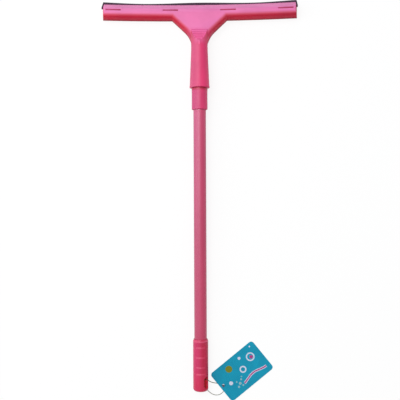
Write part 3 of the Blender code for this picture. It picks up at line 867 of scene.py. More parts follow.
def shade(item: bpy.types.Object) -> bpy.types.Object:
    """Shade an object smooth between its real edges.

    Args:
        item: The mesh object.

    Returns:
        The same object.
    """
    item.data.shade_smooth()
    item.data.set_sharp_from_angle(angle=EDGE_ANGLE)
    return item


def soften(points: Profile, radius: float) -> Profile:
    """Round the inner corners of an open profile.

    Args:
        points: The profile, from one end to the other.
        radius: How far from each corner its rounding starts.

    Returns:
        The rounded profile.
    """
    line = [Vector(point) for point in points]
    result = [line[0]]
    for before, corner, after in zip(line, line[1:], line[2:]):
        shorter = min((before - corner).length, (after - corner).length)
        reach = min(radius, CORNER_SHARE * shorter)
        start = corner + (before - corner).normalized() * reach
        end = corner + (after - corner).normalized() * reach
        for i in range(CORNER_STEPS + 1):
            share = i / CORNER_STEPS
            result.append(start.lerp(corner, share).lerp(corner.lerp(end, share), share))
    result.append(line[-1])
    return [tuple(point) for point in result]


def join_rings(body: bmesh.types.BMesh, low: list[bmesh.types.BMVert],
               high: list[bmesh.types.BMVert]) -> None:
    """Lay faces between two rings of vertices.

    Args:
        body: The body that they belong to.
        low: One ring, or a single vertex repeated.
        high: The other, of the same length.
    """
    for i in range(len(low)):
        j = (i + 1) % len(low)
        corners = dict.fromkeys((low[i], low[j], high[j], high[i]))
        body.faces.new(list(corners))


def turned(name: str, profile: Profile, place: Matrix, segments: int = 96,
           relief: Callable[[float, float, float], float] | None = None) -> bpy.types.Object:
    """Closed body turned about local Z, with an optional relief on its skin.

    Args:
        name: Name of the object.
        profile: Radius and height of its points. It starts and ends on the axis, or is a closed ring.
        place: Matrix that carries it into the frame.
        segments: Steps round the axis.
        relief: New radius from the angle past local -Y, the height and the plain radius.

    Returns:
        The object, with its place in its mesh.
    """
    body = bmesh.new()
    rings = []
    for radius, height in profile:
        if radius < ON_AXIS:
            rings.append([body.verts.new((0.0, 0.0, height))] * segments)
            continue
        ring = []
        for i in range(segments):
            angle = 2 * math.pi * i / segments
            far = relief(angle, height, radius) if relief else radius
            ring.append(body.verts.new((far * math.sin(angle), -far * math.cos(angle), height)))
        rings.append(ring)
    pairs = list(zip(rings, rings[1:]))
    if len(set(rings[0])) > 1:
        pairs.append((rings[-1], rings[0]))
    for low, high in pairs:
        join_rings(body, low, high)
    return object_of(name, body, place)


def softened_copy(node: str, name: str, width: float,
                  crisp: Callable[[Vector], bool] = lambda point: False) -> bpy.types.Object:
    """Welded copy of a CAD node with its sharp edges rounded.

    Args:
        node: The CAD node.
        name: Name of the copy.
        width: Width of the rounding.
        crisp: Tells whether edges at a point stay sharp, as where fine ribs lie close together.

    Returns:
        The copy, at the origin.
    """
    body = bmesh.new()
    body.from_mesh(frame["nodes"][node].data)
    bmesh.ops.remove_doubles(body, verts=body.verts[:], dist=NODE_WELD_GAP)
    bmesh.ops.dissolve_degenerate(body, edges=body.edges[:], dist=SHORTEST_EDGE)
    bmesh.ops.dissolve_limit(body, angle_limit=FLAT_ANGLE, verts=body.verts[:], edges=body.edges[:])
    sharp = []
    for edge in body.edges:
        turning = len(edge.link_faces) == 2 and edge.calc_face_angle() > EDGE_ANGLE
        if turning and not any(crisp(vert.co) for vert in edge.verts):
            sharp.append(edge)
    bmesh.ops.bevel(body, geom=sharp, offset=width, offset_type="OFFSET", segments=BEVEL_STEPS,
                    profile=0.5, affect="EDGES", clamp_overlap=False)
    return object_of(name, body)


def as_piece(item: bpy.types.Object, body: Body, slot: Slot, material: bpy.types.Material,
             *nodes: str) -> bpy.types.Object:
    """Dress a finished object, carry it on its body and hide the CAD nodes that it replaces.

    Args:
        item: The finished object, at the origin.
        body: Body that it rides on.
        slot: Not used.
        material: Its finish.
        nodes: CAD nodes that it replaces.

    Returns:
        The same object.
    """
    item.data.materials.clear()
    item.data.materials.append(material)
    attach(item, body.value)
    if nodes:
        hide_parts(*nodes)
    log.info("%s rides on %s", item.name, body.value)
    return item


def dress_node(name: str, material: bpy.types.Material) -> bpy.types.Object:
    """Give a CAD node that stays in view its finish.

    Args:
        name: The CAD node.
        material: Its finish.

    Returns:
        The node's object.
    """
    node = frame["nodes"][name]
    for socket in node.material_slots:
        socket.material = material
    log.info("%s keeps its CAD shape", name)
    return node


@dataclass
class HandleAxis:
    """Line that the ferrule, pole and grip turn about, with local Z up the handle."""

    origin: Vector
    direction: Vector
    grip_end: float

    @classmethod
    def from_frame(cls) -> "HandleAxis":
        """Read the axis from the frame's turning joint and the grip's end from its mount.

        Returns:
            The axis.
        """
        joint = next(j for j in frame["joints"] if j["name"] == "thread_turn")
        mount = next(m for m in frame["record"]["mounts"] if m["name"] == "grip_end_face")
        origin = Vector(joint["pos_m"])
        reach = Vector(mount["pos_m"]) - origin
        return cls(origin, -reach.normalized(), -reach.length)

    def matrix(self, height: float = 0.0) -> Matrix:
        """Matrix that carries local points, Z up the handle from a height, into the frame.

        Args:
            height: Place along the handle where local Z starts.

        Returns:
            The matrix.
        """
        side = Vector((1.0, 0.0, 0.0))
        under = self.direction.cross(side).normalized()
        turn = Matrix((side, under, self.direction)).transposed().to_4x4()
        return Matrix.Translation(self.origin + self.direction * height) @ turn


@dataclass
class ThreadRidge:
    """Single-start screw thread: a ridge on a right-hand helix that runs out at both ends."""

    name: str
    root_radius: float
    height: float
    start: float
    length: float
    base_width: float
    crest_width: float
    pitch: float = 5.0 * MM
    sink: float = 0.12 * MM
    points_per_turn: int = 40
    run_out_share: float = 0.08
    thinnest: float = 0.04

    def build(self, axis: HandleAxis, material: bpy.types.Material) -> bpy.types.Object:
        """Sweep the ridge; a negative height makes it stand inward, as in a socket.

        Args:
            axis: The handle's axis.
            material: Material of the ridge.

        Returns:
            The ridge's object.
        """
        tree = ShapeTree(self.name)
        outward = math.copysign(1.0, self.height)
        radius = tree.size("Root radius", self.root_radius)
        height = tree.size("Ridge height", abs(self.height) + self.sink)
        length = tree.size("Threaded length", self.length)
        pitch = tree.size("Pitch", self.pitch)
        spiral = tree.node("GeometryNodeCurveSpiral", {
            "Resolution": tree.size("Points per turn", self.points_per_turn),
            "Rotations": tree.math("DIVIDE", length, pitch),
            "Start Radius": radius, "End Radius": radius, "Height": length, "Reverse": True,
        })
        upright = tree.node("GeometryNodeSetCurveNormal", {"Curve": spiral}, mode="Z_UP")
        section = tree.node("GeometryNodeCurvePrimitiveQuadrilateral", {
            "Height": height, "Bottom Width": tree.size("Base width", self.base_width),
            "Top Width": tree.size("Crest width", self.crest_width), "Offset": 0.0,
        }, mode="TRAPEZOID")
        middle = tree.math("SUBTRACT", tree.math("MULTIPLY", height, 0.5), self.sink)
        shift = tree.math("MULTIPLY", middle, outward)
        section = tree.node("GeometryNodeTransform", {
            "Geometry": section, "Rotation": (0.0, 0.0, -outward * math.pi / 2),
            "Translation": tree.node("ShaderNodeCombineXYZ", {"X": shift}),
        })
        along = tree.node("GeometryNodeSplineParameter", {})
        run_out = tree.size("Run-out share", self.run_out_share)
        near_end = tree.math("MINIMUM", along, tree.math("SUBTRACT", 1.0, along))
        full = tree.math("MINIMUM", tree.math("DIVIDE", near_end, run_out), 1.0)
        scale = tree.math("MAXIMUM", full, tree.size("Thinnest share", self.thinnest))
        ridge = tree.node("GeometryNodeCurveToMesh", {
            "Curve": upright, "Profile Curve": section, "Scale": scale, "Fill Caps": True,
        })
        item = tree.bake(ridge, material)
        item.data.transform(axis.matrix(self.start))
        return shade(item)


@dataclass
class Head:
    """Head moulding with its clamp strip, rubber blade and the thread in its socket."""

    plastic: MouldedPlastic = HeadPlastic(
        "head_pink", side=(0.790, 0.050, 0.176), top=(0.675, 0.092, 0.218), specular=0.25)
    clamp_plastic: MouldedPlastic = MouldedPlastic(
        "clamp_pink", side=(0.60, 0.050, 0.120), top=(0.80, 0.160, 0.400))
    rubber: DarkRubber = DarkRubber(
        "dark_rubber", colour=(0.036, 0.010, 0.029), bloom=(0.060, 0.022, 0.053))
    edge_rounding: float = 0.22 * MM
    bow: float = 2.8 * MM
    lean: float = math.radians(50.0)
    blade_thickness: float = 3.0 * MM
    blade_width: float = 17.9 * MM
    lip_rounding: float = 0.30 * MM
    lip_rounding_steps: int = 3
    lip_reach: float = 0.30 * MM
    lip_sway: float = 0.90 * MM
    lip_wave: float = 170.0 * MM
    bow_points: int = 48
    socket_bore: float = 10.7 * MM
    thread_height: float = 0.95 * MM
    thread_start: float = 3.2 * MM
    thread_length: float = 28.0 * MM
    thread_base_width: float = 1.9 * MM
    thread_crest_width: float = 0.7 * MM
    ribs_half_width: float = 14.0 * MM
    ribs_start: float = 224.0 * MM
    ribs_end: float = 258.0 * MM
    ribs_low: float = 17.0 * MM
    ribs_crease: float = math.radians(11.0)
    ramp_foot: float = 253.729 * MM
    ramp_top: float = 234.729 * MM
    ramp_line: float = 0.1 * MM
    groove_depth: float = 0.5 * MM
    groove_deepest: float = 1.3

    def on_ribs(self, point: Vector) -> bool:
        """Whether a point lies in the ribbed zone between the face and the socket."""
        inside = abs(point.x) < self.ribs_half_width and self.ribs_start < point.y < self.ribs_end
        return inside and point.z > self.ribs_low

    def finish_ribs(self, item: bpy.types.Object) -> None:
        """Keep the low edges of the ribbed ramp crisp and mark how deep its grooves lie.

        Args:
            item: The head's object.
        """
        body = bmesh.new()
        body.from_mesh(item.data)
        flat = [vert.co for vert in body.verts if self.on_ribs(vert.co)]
        foot = max(point.z for point in flat if abs(point.y - self.ramp_foot) < self.ramp_line)
        top = max(point.z for point in flat if abs(point.y - self.ramp_top) < self.ramp_line)
        slope = (top - foot) / (self.ramp_foot - self.ramp_top)
        # Depth share of the grooves, which the head's material turns into painted shade.
        layer = body.verts.layers.float.new("groove")
        for vert in body.verts:
            depth = foot + slope * (self.ramp_foot - vert.co.y) - vert.co.z
            share = depth / self.groove_depth
            if self.on_ribs(vert.co) and 0 < share < self.groove_deepest:
                vert[layer] = min(share, 1.0)
        for edge in body.edges:
            near = all(self.on_ribs(vert.co) for vert in edge.verts)
            if near and edge.calc_face_angle(0.0) > self.ribs_crease:
                edge.smooth = False
        body.to_mesh(item.data)
        body.free()

    def moulding(self, material: bpy.types.Material) -> bpy.types.Object:
        """One-piece head with its edges rounded as a mould leaves them.

        Args:
            material: Its finish.

        Returns:
            The piece.
        """
        item = shade(softened_copy("head_shell", "head_moulding", self.edge_rounding, self.on_ribs))
        self.finish_ribs(item)
        return as_piece(item, Body.HEAD, Slot.HEAD, material, "head_shell")

    def clamp(self, material: bpy.types.Material) -> bpy.types.Object:
        """Clamp strip with its snap tongues."""
        item = shade(softened_copy("blade_clamp", "clamp_strip", self.edge_rounding))
        return as_piece(item, Body.HEAD, Slot.CLAMP, material, "blade_clamp")

    def section(self, tree: ShapeTree) -> Socket:
        """Section of the blade, with rounded edges, leaning as the jaw does.

        Args:
            tree: Tree of the blade.

        Returns:
            The socket of its closed curve.
        """
        plain = tree.node("GeometryNodeCurvePrimitiveQuadrilateral", {
            "Width": tree.size("Blade width", self.blade_width),
            "Height": tree.size("Blade thickness", self.blade_thickness),
        })
        rounded = tree.node("GeometryNodeFilletCurve", {
            "Curve": plain, "Radius": tree.size("Lip rounding", self.lip_rounding),
            "Count": tree.size("Rounding steps", self.lip_rounding_steps), "Limit Radius": True,
        }, mode="POLY")
        return tree.node("GeometryNodeTransform", {
            "Geometry": rounded, "Rotation": (0.0, 0.0, -self.lean),
        })

    def blade(self, material: bpy.types.Material) -> bpy.types.Object:
        """Rubber strip swept along the bowed bar, with a slightly wavy free lip.

        Args:
            material: Its finish.

        Returns:
            The piece.
        """
        low, high = (Vector(corner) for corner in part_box("blade"))
        down = Vector((0.0, math.cos(self.lean), -math.sin(self.lean)))
        inward = Vector((0.0, -math.sin(self.lean), -math.cos(self.lean)))
        lip = Vector((0.0, high.y - self.bow, low.z - self.blade_thickness * inward.z))
        middle = lip + inward * self.blade_thickness / 2 - down * self.blade_width / 2
        tree = ShapeTree("rubber_blade")
        half = (high.x - low.x) / 2
        line = tree.node("GeometryNodeCurveQuadraticBezier", {
            "Resolution": tree.size("Points along", self.bow_points),
            "Start": tree.size("Left end", middle + Vector((-half, self.bow, 0.0))),
            "Middle": tree.size("Middle", middle + Vector((0.0, -self.bow, 0.0))),
            "End": tree.size("Right end", middle + Vector((half, self.bow, 0.0))),
        })
        upright = tree.node("GeometryNodeSetCurveNormal", {"Curve": line}, mode="Z_UP")
        strip = tree.node("GeometryNodeCurveToMesh", {
            "Curve": upright, "Profile Curve": self.section(tree), "Fill Caps": True,
        })
        item = shade(tree.bake(strip, material))
        for vertex in item.data.vertices:
            bowed = middle + Vector((0.0, self.bow * ((vertex.co.x / half) ** 2), 0.0))
            if (vertex.co - bowed).dot(down) > 0:
                wave = math.cos(2 * math.pi * vertex.co.x / self.lip_wave)
                vertex.co.y += self.lip_reach + self.lip_sway * wave
        return as_piece(item, Body.HEAD, Slot.RUBBER, material, "blade")

    def thread(self, axis: HandleAxis, material: bpy.types.Material) -> bpy.types.Object:
        """Ridge inside the socket that the ferrule's thread runs in.

        Args:
            axis: The handle's axis.
            material: Its finish.

        Returns:
            The piece.
        """
        ridge = ThreadRidge("socket_thread", self.socket_bore, -self.thread_height, self.thread_start,
                            self.thread_length, self.thread_base_width, self.thread_crest_width)
        return as_piece(ridge.build(axis, material), Body.HEAD, Slot.HEAD, material)

    def build(self, axis: HandleAxis) -> None:
        """Make and dress every piece of the head.

        Args:
            axis: The handle's axis.
        """
        plastic = self.plastic.make()
        self.moulding(plastic)
        self.thread(axis, plastic)
        self.clamp(self.clamp_plastic.make())
        self.blade(self.rubber.make())


@dataclass
class PoleEnd:
    """Ferrule that screws into the socket: collar, hollow spigot and its thread."""

    plastic: MouldedPlastic = CollarPlastic(
        "ferrule_pink", side=(0.73, 0.045, 0.165), top=(0.62, 0.070, 0.206), specular=0.45)
    gap: float = 0.3 * MM
    collar_length: float = 33.0 * MM
    collar_radius: float = 12.15 * MM
    waist_radius: float = 12.0 * MM
    rim_radius: float = 12.1 * MM
    rim_chamfer: float = 0.6 * MM
    spigot_length: float = 34.0 * MM
    root_radius: float = 9.45 * MM
    crest_radius: float = 10.4 * MM
    neck_length: float = 2.2 * MM
    neck_cone: float = 0.6 * MM
    tip_chamfer: float = 1.0 * MM
    tip_length: float = 1.2 * MM
    core_radius: float = 7.5 * MM
    end_wall: float = 4.0 * MM
    tube_room: float = 9.3 * MM
    seat_depth: float = 44.8 * MM
    rounding: float = 0.45 * MM
    thread_start: float = 4.4 * MM
    thread_length: float = 27.5 * MM
    thread_base_width: float = 2.2 * MM
    thread_crest_width: float = 0.8 * MM

    def profile(self) -> Profile:
        """Outline from the spigot's closed end, down the outside and back up the bore.

        Returns:
            Radius and height of its points.
        """
        top = self.spigot_length + self.gap
        under = -self.gap
        rim = under - self.collar_length
        return [
            (0.0, top),
            (self.root_radius - self.tip_chamfer, top),
            (self.root_radius, top - self.tip_length),
            (self.root_radius, under + self.neck_length),
            (self.crest_radius, under + self.neck_length - self.neck_cone),
            (self.crest_radius, under),
            (self.collar_radius, under),
            (self.waist_radius, under - self.collar_length / 3),
            (self.rim_radius, rim + self.rim_chamfer),
            (self.rim_radius - self.rim_chamfer, rim),
            (self.tube_room, rim),
            (self.tube_room, rim + self.seat_depth),
            (self.core_radius, rim + self.seat_depth),
            (self.core_radius, top - self.end_wall),
            (0.0, top - self.end_wall),
        ]

    def build(self, axis: HandleAxis) -> None:
        """Make and dress the ferrule and its thread.

        Args:
            axis: The handle's axis.
        """
        finish = self.plastic.make()
        ferrule = turned("pole_ferrule", soften(self.profile(), self.rounding), axis.matrix())
        as_piece(shade(ferrule), Body.FERRULE, Slot.FERRULE, finish, "ferrule")
        height = self.crest_radius - self.root_radius
        ridge = ThreadRidge("ferrule_thread", self.root_radius, height, self.thread_start,
                            self.thread_length, self.thread_base_width, self.thread_crest_width)
        as_piece(ridge.build(axis, finish), Body.FERRULE, Slot.FERRULE, finish)


@dataclass
class Pole:
    """Steel tube inside its thin coloured sleeve."""

    # The drift paints light along the sleeve: mauve near the head, deeper rose towards the grip.
    plastic: MouldedPlastic = MouldedPlastic(
        "sleeve_pink", side=(0.61, 0.068, 0.165), top=(0.58, 0.112, 0.236), roughness=0.38,
        specular=0.5, cloud_scale=30.0, cloud_stretch=(1.0, 5.0, 1.0), cloud_range=(0.90, 1.07),
        drift=(0.53, 0.052, 0.108), drift_range=(0.13, -0.25), drift_share=0.65)
    steel: DrawnSteel = DrawnSteel("drawn_steel")
    sleeve_radius: float = 9.6 * MM
    sleeve_wall: float = 0.3 * MM
    sleeve_top: float = -33.6 * MM
    sleeve_foot: float = 27.3 * MM
    rounding: float = 0.12 * MM

    def build(self, axis: HandleAxis) -> None:
        """Make the sleeve and dress the tube.

        Args:
            axis: The handle's axis.
        """
        inner = self.sleeve_radius - self.sleeve_wall
        foot = axis.grip_end + self.sleeve_foot
        middle = (self.sleeve_top + foot) / 2
        ring = [
            (inner, middle), (inner, self.sleeve_top), (self.sleeve_radius, self.sleeve_top),
            (self.sleeve_radius, foot), (inner, foot), (inner, middle - self.sleeve_wall),
        ]
        sleeve = turned("pole_coating", soften(ring, self.rounding), axis.matrix())
        as_piece(shade(sleeve), Body.POLE, Slot.SLEEVE, self.plastic.make(), "pole_sleeve")
        dress_node("pole_tube", self.steel.make())


@dataclass
class Grip:
    """Moulded grip with a rolled rim, four thumb steps and a leaning hanging hole."""

    # The drift paints a glow: the skin turns deeper red towards the grip's closed end.
    plastic: MouldedPlastic = GripPlastic(
        "grip_pink", side=(0.56, 0.024, 0.076), top=(0.63, 0.041, 0.143), roughness=0.38,
        specular=0.36, drift=(0.62, 0.019, 0.066), drift_range=(-0.262, -0.288), drift_share=0.55)
    segments: int = 144
    length: float = 80.0 * MM
    radius: float = 11.6 * MM
    rim_radius: float = 10.4 * MM
    rim_length: float = 3.0 * MM
    rim_rounding: float = 0.4 * MM
    end_radius: float = 4.0 * MM
    end_steps: int = 14
    bore_radius: float = 9.9 * MM
    bore_end: float = 27.0 * MM
    skin_step: float = 0.4 * MM
    skin_margin: float = 0.2 * MM
    bead_station: float = 76.3 * MM
    bead_rise: float = 3.2 * MM
    bead_width: float = 0.70 * MM
    bead_height: float = 0.35 * MM
    step_stations: tuple[float, ...] = (68.8 * MM, 53.6 * MM, 38.4 * MM, 28.3 * MM)
    step_start: float = 74.6 * MM
    step_rise: float = 1.9 * MM
    step_depth: float = 0.66 * MM
    step_half_width: float = 6.9 * MM
    step_side: float = 0.8 * MM
    step_blur: float = 0.3 * MM
    # Strength of the painted highlight along the thumb steps' crests.
    step_highlight: float = 0.32
    crest_middle: float = 0.6
    crest_width: float = 0.5
    hole_length: float = 18.0 * MM
    hole_width: float = 11.5 * MM
    hole_corner: float = 4.5 * MM
    hole_corner_steps: int = 10
    hole_station: float = 13.7 * MM
    hole_lean: float = math.radians(60.0)
    mouth_width: float = 1.6 * MM
    mouth_depth: float = 0.5 * MM
    cutter_rows: tuple[float, ...] = (-2.0, -0.9, -0.5, 0.5, 0.9, 2.0)
    hollow_margin: float = 0.1 * MM
    bore_margin: float = 0.3 * MM

    def profile(self) -> Profile:
        """Outline from the bore's floor up to the rim, down the skin and over the closed end.

        Returns:
            Radius and height of its points.
        """
        outline = [(0.0, self.bore_end), (self.bore_radius, self.bore_end)]
        outline += [(self.bore_radius, self.length), (self.rim_radius, self.length)]
        outline.append((self.radius, self.length - self.rim_length))
        rim = soften(outline, self.rim_rounding)
        straight = self.length - self.rim_length - self.end_radius
        count = round(straight / self.skin_step)
        skin = []
        for i in range(1, count + 1):
            skin.append((self.radius, self.length - self.rim_length - straight * i / count))
        for i in range(1, self.end_steps + 1):
            angle = i / self.end_steps * math.pi / 2
            radius = self.radius - self.end_radius * (1 - math.cos(angle))
            skin.append((radius, self.end_radius * (1 - math.sin(angle))))
        return rim + skin + [(0.0, 0.0)]

    def step_at(self, station: float) -> float:
        """Depth of the thumb steps' sawtooth.

        Args:
            station: Distance from the grip's end.

        Returns:
            The depth.
        """
        high = self.step_start
        for low in self.step_stations:
            if low <= station <= high:
                return self.step_depth * (high - station) / (high - low)
            high = low - self.step_rise
            if high <= station <= low:
                return self.step_depth * (station - high) / self.step_rise
        return 0.0

    def mouth_at(self, across: float, along: float) -> float:
        """Share of the dished mouth at a place beside the hole, 1 on its edge.

        Args:
            across: Distance from the hole's middle, round the grip.
            along: Distance from its middle, along the grip.

        Returns:
            The share.
        """
        x = abs(across) - self.hole_width / 2 + self.hole_corner
        y = abs(along) - self.hole_length / 2 + self.hole_corner
        outside = math.hypot(max(x, 0.0), max(y, 0.0)) - self.hole_corner
        share = min(max(1 - outside / self.mouth_width, 0.0), 1.0)
        return share * share

    def window_at(self, across: float, up: float) -> float:
        """Share of the thumb steps at a place round the grip, 1 on its upper side.

        Args:
            across: Distance from the grip's middle, to either side.
            up: Above zero on the grip's upper side.

        Returns:
            The share.
        """
        side = (self.step_half_width + self.step_side - abs(across)) / (2 * self.step_side)
        side = min(max(side, 0.0), 1.0)
        return side * side * (3 - 2 * side) if up > 0 else 0.0

    def crest_at(self, station: float) -> float:
        """Share of the painted highlight where each thumb step climbs back to the full radius.

        Args:
            station: Distance from the grip's end.

        Returns:
            The share.
        """
        lines = []
        for low in self.step_stations:
            middle = low - self.crest_middle * self.step_rise
            lines.append((station - middle) / (self.crest_width * self.step_rise))
        return max(math.exp(-line * line) for line in lines)

    def bead_at(self, up: float, station: float) -> float:
        """Share of the rolled bead near the rim, which sags on the upper side.

        Args:
            up: How far the place faces up, from -1 to 1.
            station: Distance from the grip's end.

        Returns:
            The share.
        """
        middle = self.bead_station + self.bead_rise * (1 - max(up, 0.0)) / 2
        return math.exp(-((station - middle) / self.bead_width) ** 2)

    def relief(self, angle: float, station: float, radius: float) -> float:
        """Radius of the skin with its bead, its steps and the hole's mouths.

        Args:
            angle: Angle round the grip from its top.
            station: Distance from the grip's end.
            radius: Radius of the plain outline.

        Returns:
            The new radius.
        """
        inside = radius < self.bore_radius + self.skin_margin
        if inside or station > self.length - self.skin_margin:
            return radius
        up = math.cos(angle)
        bead = self.bead_height * self.bead_at(up, station)
        spread = [self.step_at(station + shift * self.step_blur) for shift in (-2, -1, 0, 1, 2)]
        window = self.window_at(radius * math.sin(angle), up)
        depth = window * sum(spread) / len(spread)
        lean = angle - self.hole_lean
        mouth = self.mouth_at(radius * math.sin(lean), station - self.hole_station)
        return radius + bead - depth - self.mouth_depth * mouth

    def hole(self, axis: HandleAxis) -> bpy.types.Object:
        """Cutter for the hanging hole, leaning over to the right.

        Args:
            axis: The handle's axis.

        Returns:
            The cutter's object.
        """
        through = Vector((math.sin(self.hole_lean), -math.cos(self.hole_lean), 0.0))
        across = Vector((math.cos(self.hole_lean), math.sin(self.hole_lean), 0.0))
        along = Vector((0.0, 0.0, 1.0))
        outline = []
        for quarter, (side, end) in enumerate(((1, 1), (-1, 1), (-1, -1), (1, -1))):
            for i in range(self.hole_corner_steps + 1):
                angle = (quarter + i / self.hole_corner_steps) * math.pi / 2
                x = side * (self.hole_width / 2 - self.hole_corner) + self.hole_corner * math.cos(angle)
                y = end * (self.hole_length / 2 - self.hole_corner) + self.hole_corner * math.sin(angle)
                outline.append(across * x + along * (y + self.hole_station))
        body = bmesh.new()
        rows = []
        for reach in self.cutter_rows:
            rows.append([body.verts.new(point + through * reach * self.radius) for point in outline])
        for near, far in zip(rows, rows[1:]):
            join_rings(body, near, far)
        for row in (rows[0], rows[-1]):
            body.faces.new(row)
        return object_of("hole_cutter", body, axis.matrix(axis.grip_end))

    def build(self, axis: HandleAxis) -> None:
        """Make and dress the grip.

        Args:
            axis: The handle's axis.
        """
        grip = turned("grip_handle", self.profile(), axis.matrix(axis.grip_end), self.segments,
                      self.relief)
        cutter = self.hole(axis)
        cut = grip.modifiers.new("hole", "BOOLEAN")
        cut.operation = "DIFFERENCE"
        cut.solver = "EXACT"
        cut.object = cutter
        grip = flatten(grip)
        bpy.data.objects.remove(cutter, do_unlink=True)
        self.mark_skin(grip, axis)
        as_piece(shade(grip), Body.POLE, Slot.GRIP, self.plastic.make(), "grip")

    def mark_skin(self, grip: bpy.types.Object, axis: HandleAxis) -> None:
        """Write the ridges' painted highlight and the hole walls' painted glow into the mesh for its finish.

        Args:
            grip: The grip's object.
            axis: The handle's axis.
        """
        ridge = grip.data.attributes.new("ridge", "FLOAT", "POINT")
        hollow = grip.data.attributes.new("hollow", "FLOAT", "POINT")
        back = axis.matrix(axis.grip_end).inverted()
        for index, vertex in enumerate(grip.data.vertices):
            place = back @ vertex.co
            reach = math.hypot(place.x, place.y)
            beside = abs(place.z - self.hole_station) - self.hole_length / 2
            wall = self.radius - self.mouth_depth - self.hollow_margin
            # The walls of the hole take the painted glow.
            if beside < self.hollow_margin and reach < wall:
                hollow.data[index].value = 1.0
            elif reach > self.bore_radius + self.bore_margin:
                # Painted highlight along the step crests and on the bead.
                ridge_highlight = self.step_highlight * self.window_at(place.x, -place.y) * self.crest_at(place.z)
                ridge.data[index].value = max(self.bead_at(-place.y / reach, place.z), ridge_highlight)


@dataclass
class TagOnLoop:
    """Hang tag card on a thin plastic loop through the grip's hole."""

    loop_plastic: Strand = Strand("pale_strand", pale=(0.30, 0.31, 0.26), dark=(0.17, 0.17, 0.08))
    # The knot is coloured far darker than its strand: painted shade over the card's hole.
    shaded_knot_plastic: Strand = Strand("shaded_knot_strand", pale=(0.10, 0.09, 0.16), dark=(0.10, 0.09, 0.16))
    diameter: float = 1.1 * MM
    step: float = 0.85 * MM
    samples: int = 24
    round_steps: int = 3
    grip_end: float = -300.0 * MM
    card_centre: Point = (63.5 * MM, 27.5 * MM, 1.5 * MM)
    card_turn: float = math.radians(39.2)
    card_tilt: float = math.radians(1.26)
    exit: Point = (11.3 * MM, 15.9 * MM, 12.7 * MM)
    route: tuple[Point, ...] = (
        (0.03425, 0.00560, 0.00262), (0.03360, 0.00575, 0.00175), (0.03230, 0.00610, 0.00098),
        (0.03040, 0.00665, 0.00075), (0.02750, 0.00755, 0.00080), (0.02430, 0.00840, 0.00130),
        (0.02050, 0.00970, 0.00370), (0.01720, 0.01140, 0.00740), (0.01430, 0.01365, 0.01080),
        (0.01130, 0.01590, 0.01270), (0.00820, 0.01660, 0.01140), (0.00514, 0.01670, 0.00973),
        (0.00230, 0.01670, 0.00809), (-0.00100, 0.01670, 0.00618), (-0.00390, 0.01670, 0.00450),
        (-0.00680, 0.01640, 0.00290), (-0.00910, 0.01510, 0.00180), (-0.01020, 0.01290, 0.00115),
        (-0.01020, 0.01010, 0.00075), (-0.00890, 0.00700, 0.00062), (-0.00640, 0.00440, 0.00062),
        (-0.00310, 0.00250, 0.00062), (0.00050, 0.00190, 0.00062), (0.00380, 0.00160, 0.00062),
        (0.00680, 0.00040, 0.00062), (0.00930, -0.00170, 0.00062), (0.01180, -0.00430, 0.00062),
        (0.01505, -0.00700, 0.00062), (0.01930, -0.00930, 0.00062), (0.02370, -0.01010, 0.00062),
        (0.02810, -0.00950, 0.00062), (0.03180, -0.00750, 0.00062), (0.03450, -0.00460, 0.00062),
        (0.03590, -0.00110, 0.00064), (0.03600, 0.00180, 0.00085), (0.03555, 0.00390, 0.00160),
        (0.03505, 0.00500, 0.00262),
    )
    knot_strand: float = 0.50 * MM
    knot_reach: float = 1.75 * MM
    knot_rise: float = 0.52 * MM
    knot_points: int = 96

    def from_grip_end(self, point: Point) -> Vector:
        """Place of a point given as X, distance ahead of the grip's end, and height."""
        return Vector((point[0], self.grip_end + point[1], point[2]))

    def length_of(self, points: list[Vector]) -> float:
        """Length of the straight stretches between points."""
        return sum((far - near).length for near, far in zip(points, points[1:]))

    def smooth_route(self) -> list[Vector]:
        """Points at an even step along a smooth curve through the route.

        Returns:
            The points, from one end of the strand to the other.
        """
        points = [self.from_grip_end(point) for point in self.route]
        inner = [points[0] * 2 - points[1], *points, points[-1] * 2 - points[-2]]
        fine = []
        for before, start, end, after in zip(inner, inner[1:], inner[2:], inner[3:]):
            first = end - before
            second = 2 * before - 5 * start + 4 * end - after
            third = 3 * start - before - 3 * end + after
            for i in range(self.samples):
                share = i / self.samples
                fine.append(0.5 * (2 * start + first * share + second * share ** 2 + third * share ** 3))
        fine.append(points[-1])
        total = self.length_of(fine)
        count = round(total / self.step)
        even = [fine[0]]
        walked = 0.0
        for near, far in zip(fine, fine[1:]):
            length = (far - near).length
            while len(even) < count and walked + length >= total * len(even) / count:
                even.append(near.lerp(far, (total * len(even) / count - walked) / length))
            walked += length
        even.append(fine[-1])
        return even

    def tube(self, name: str, points: list[Vector], radius: float,
             closed: bool = False) -> bpy.types.Object:
        """Round strand along points.

        Args:
            name: Name of the strand.
            points: Its middle line.
            radius: Its radius.
            closed: Whether its ends meet.

        Returns:
            The strand's curve object.
        """
        curve = bpy.data.curves.new(name, "CURVE")
        curve.dimensions = "3D"
        curve.bevel_depth = radius
        curve.bevel_resolution = self.round_steps
        curve.use_fill_caps = not closed
        spline = curve.splines.new("POLY")
        spline.points.add(len(points) - 1)
        spline.use_cyclic_u = closed
        for target, point in zip(spline.points, points):
            target.co = (*point, 1.0)
        return new_object(name, curve)

    def knot(self) -> bpy.types.Object:
        """Overhand knot of the strand, pulled tight over the card's hole.

        Returns:
            The knot's mesh object.
        """
        low, high = (Vector(corner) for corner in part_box("loop_knot"))
        centre = (low + high) / 2
        points = []
        for i in range(self.knot_points):
            angle = 2 * math.pi * i / self.knot_points
            x = (math.sin(angle) + 2 * math.sin(2 * angle)) / 3
            y = (math.cos(angle) - 2 * math.cos(2 * angle)) / 3
            z = -math.sin(3 * angle)
            place = Vector((x * self.knot_reach, y * self.knot_reach, z * self.knot_rise))
            points.append(centre + place)
        return flatten(self.tube("strand_knot", points, self.knot_strand, closed=True))

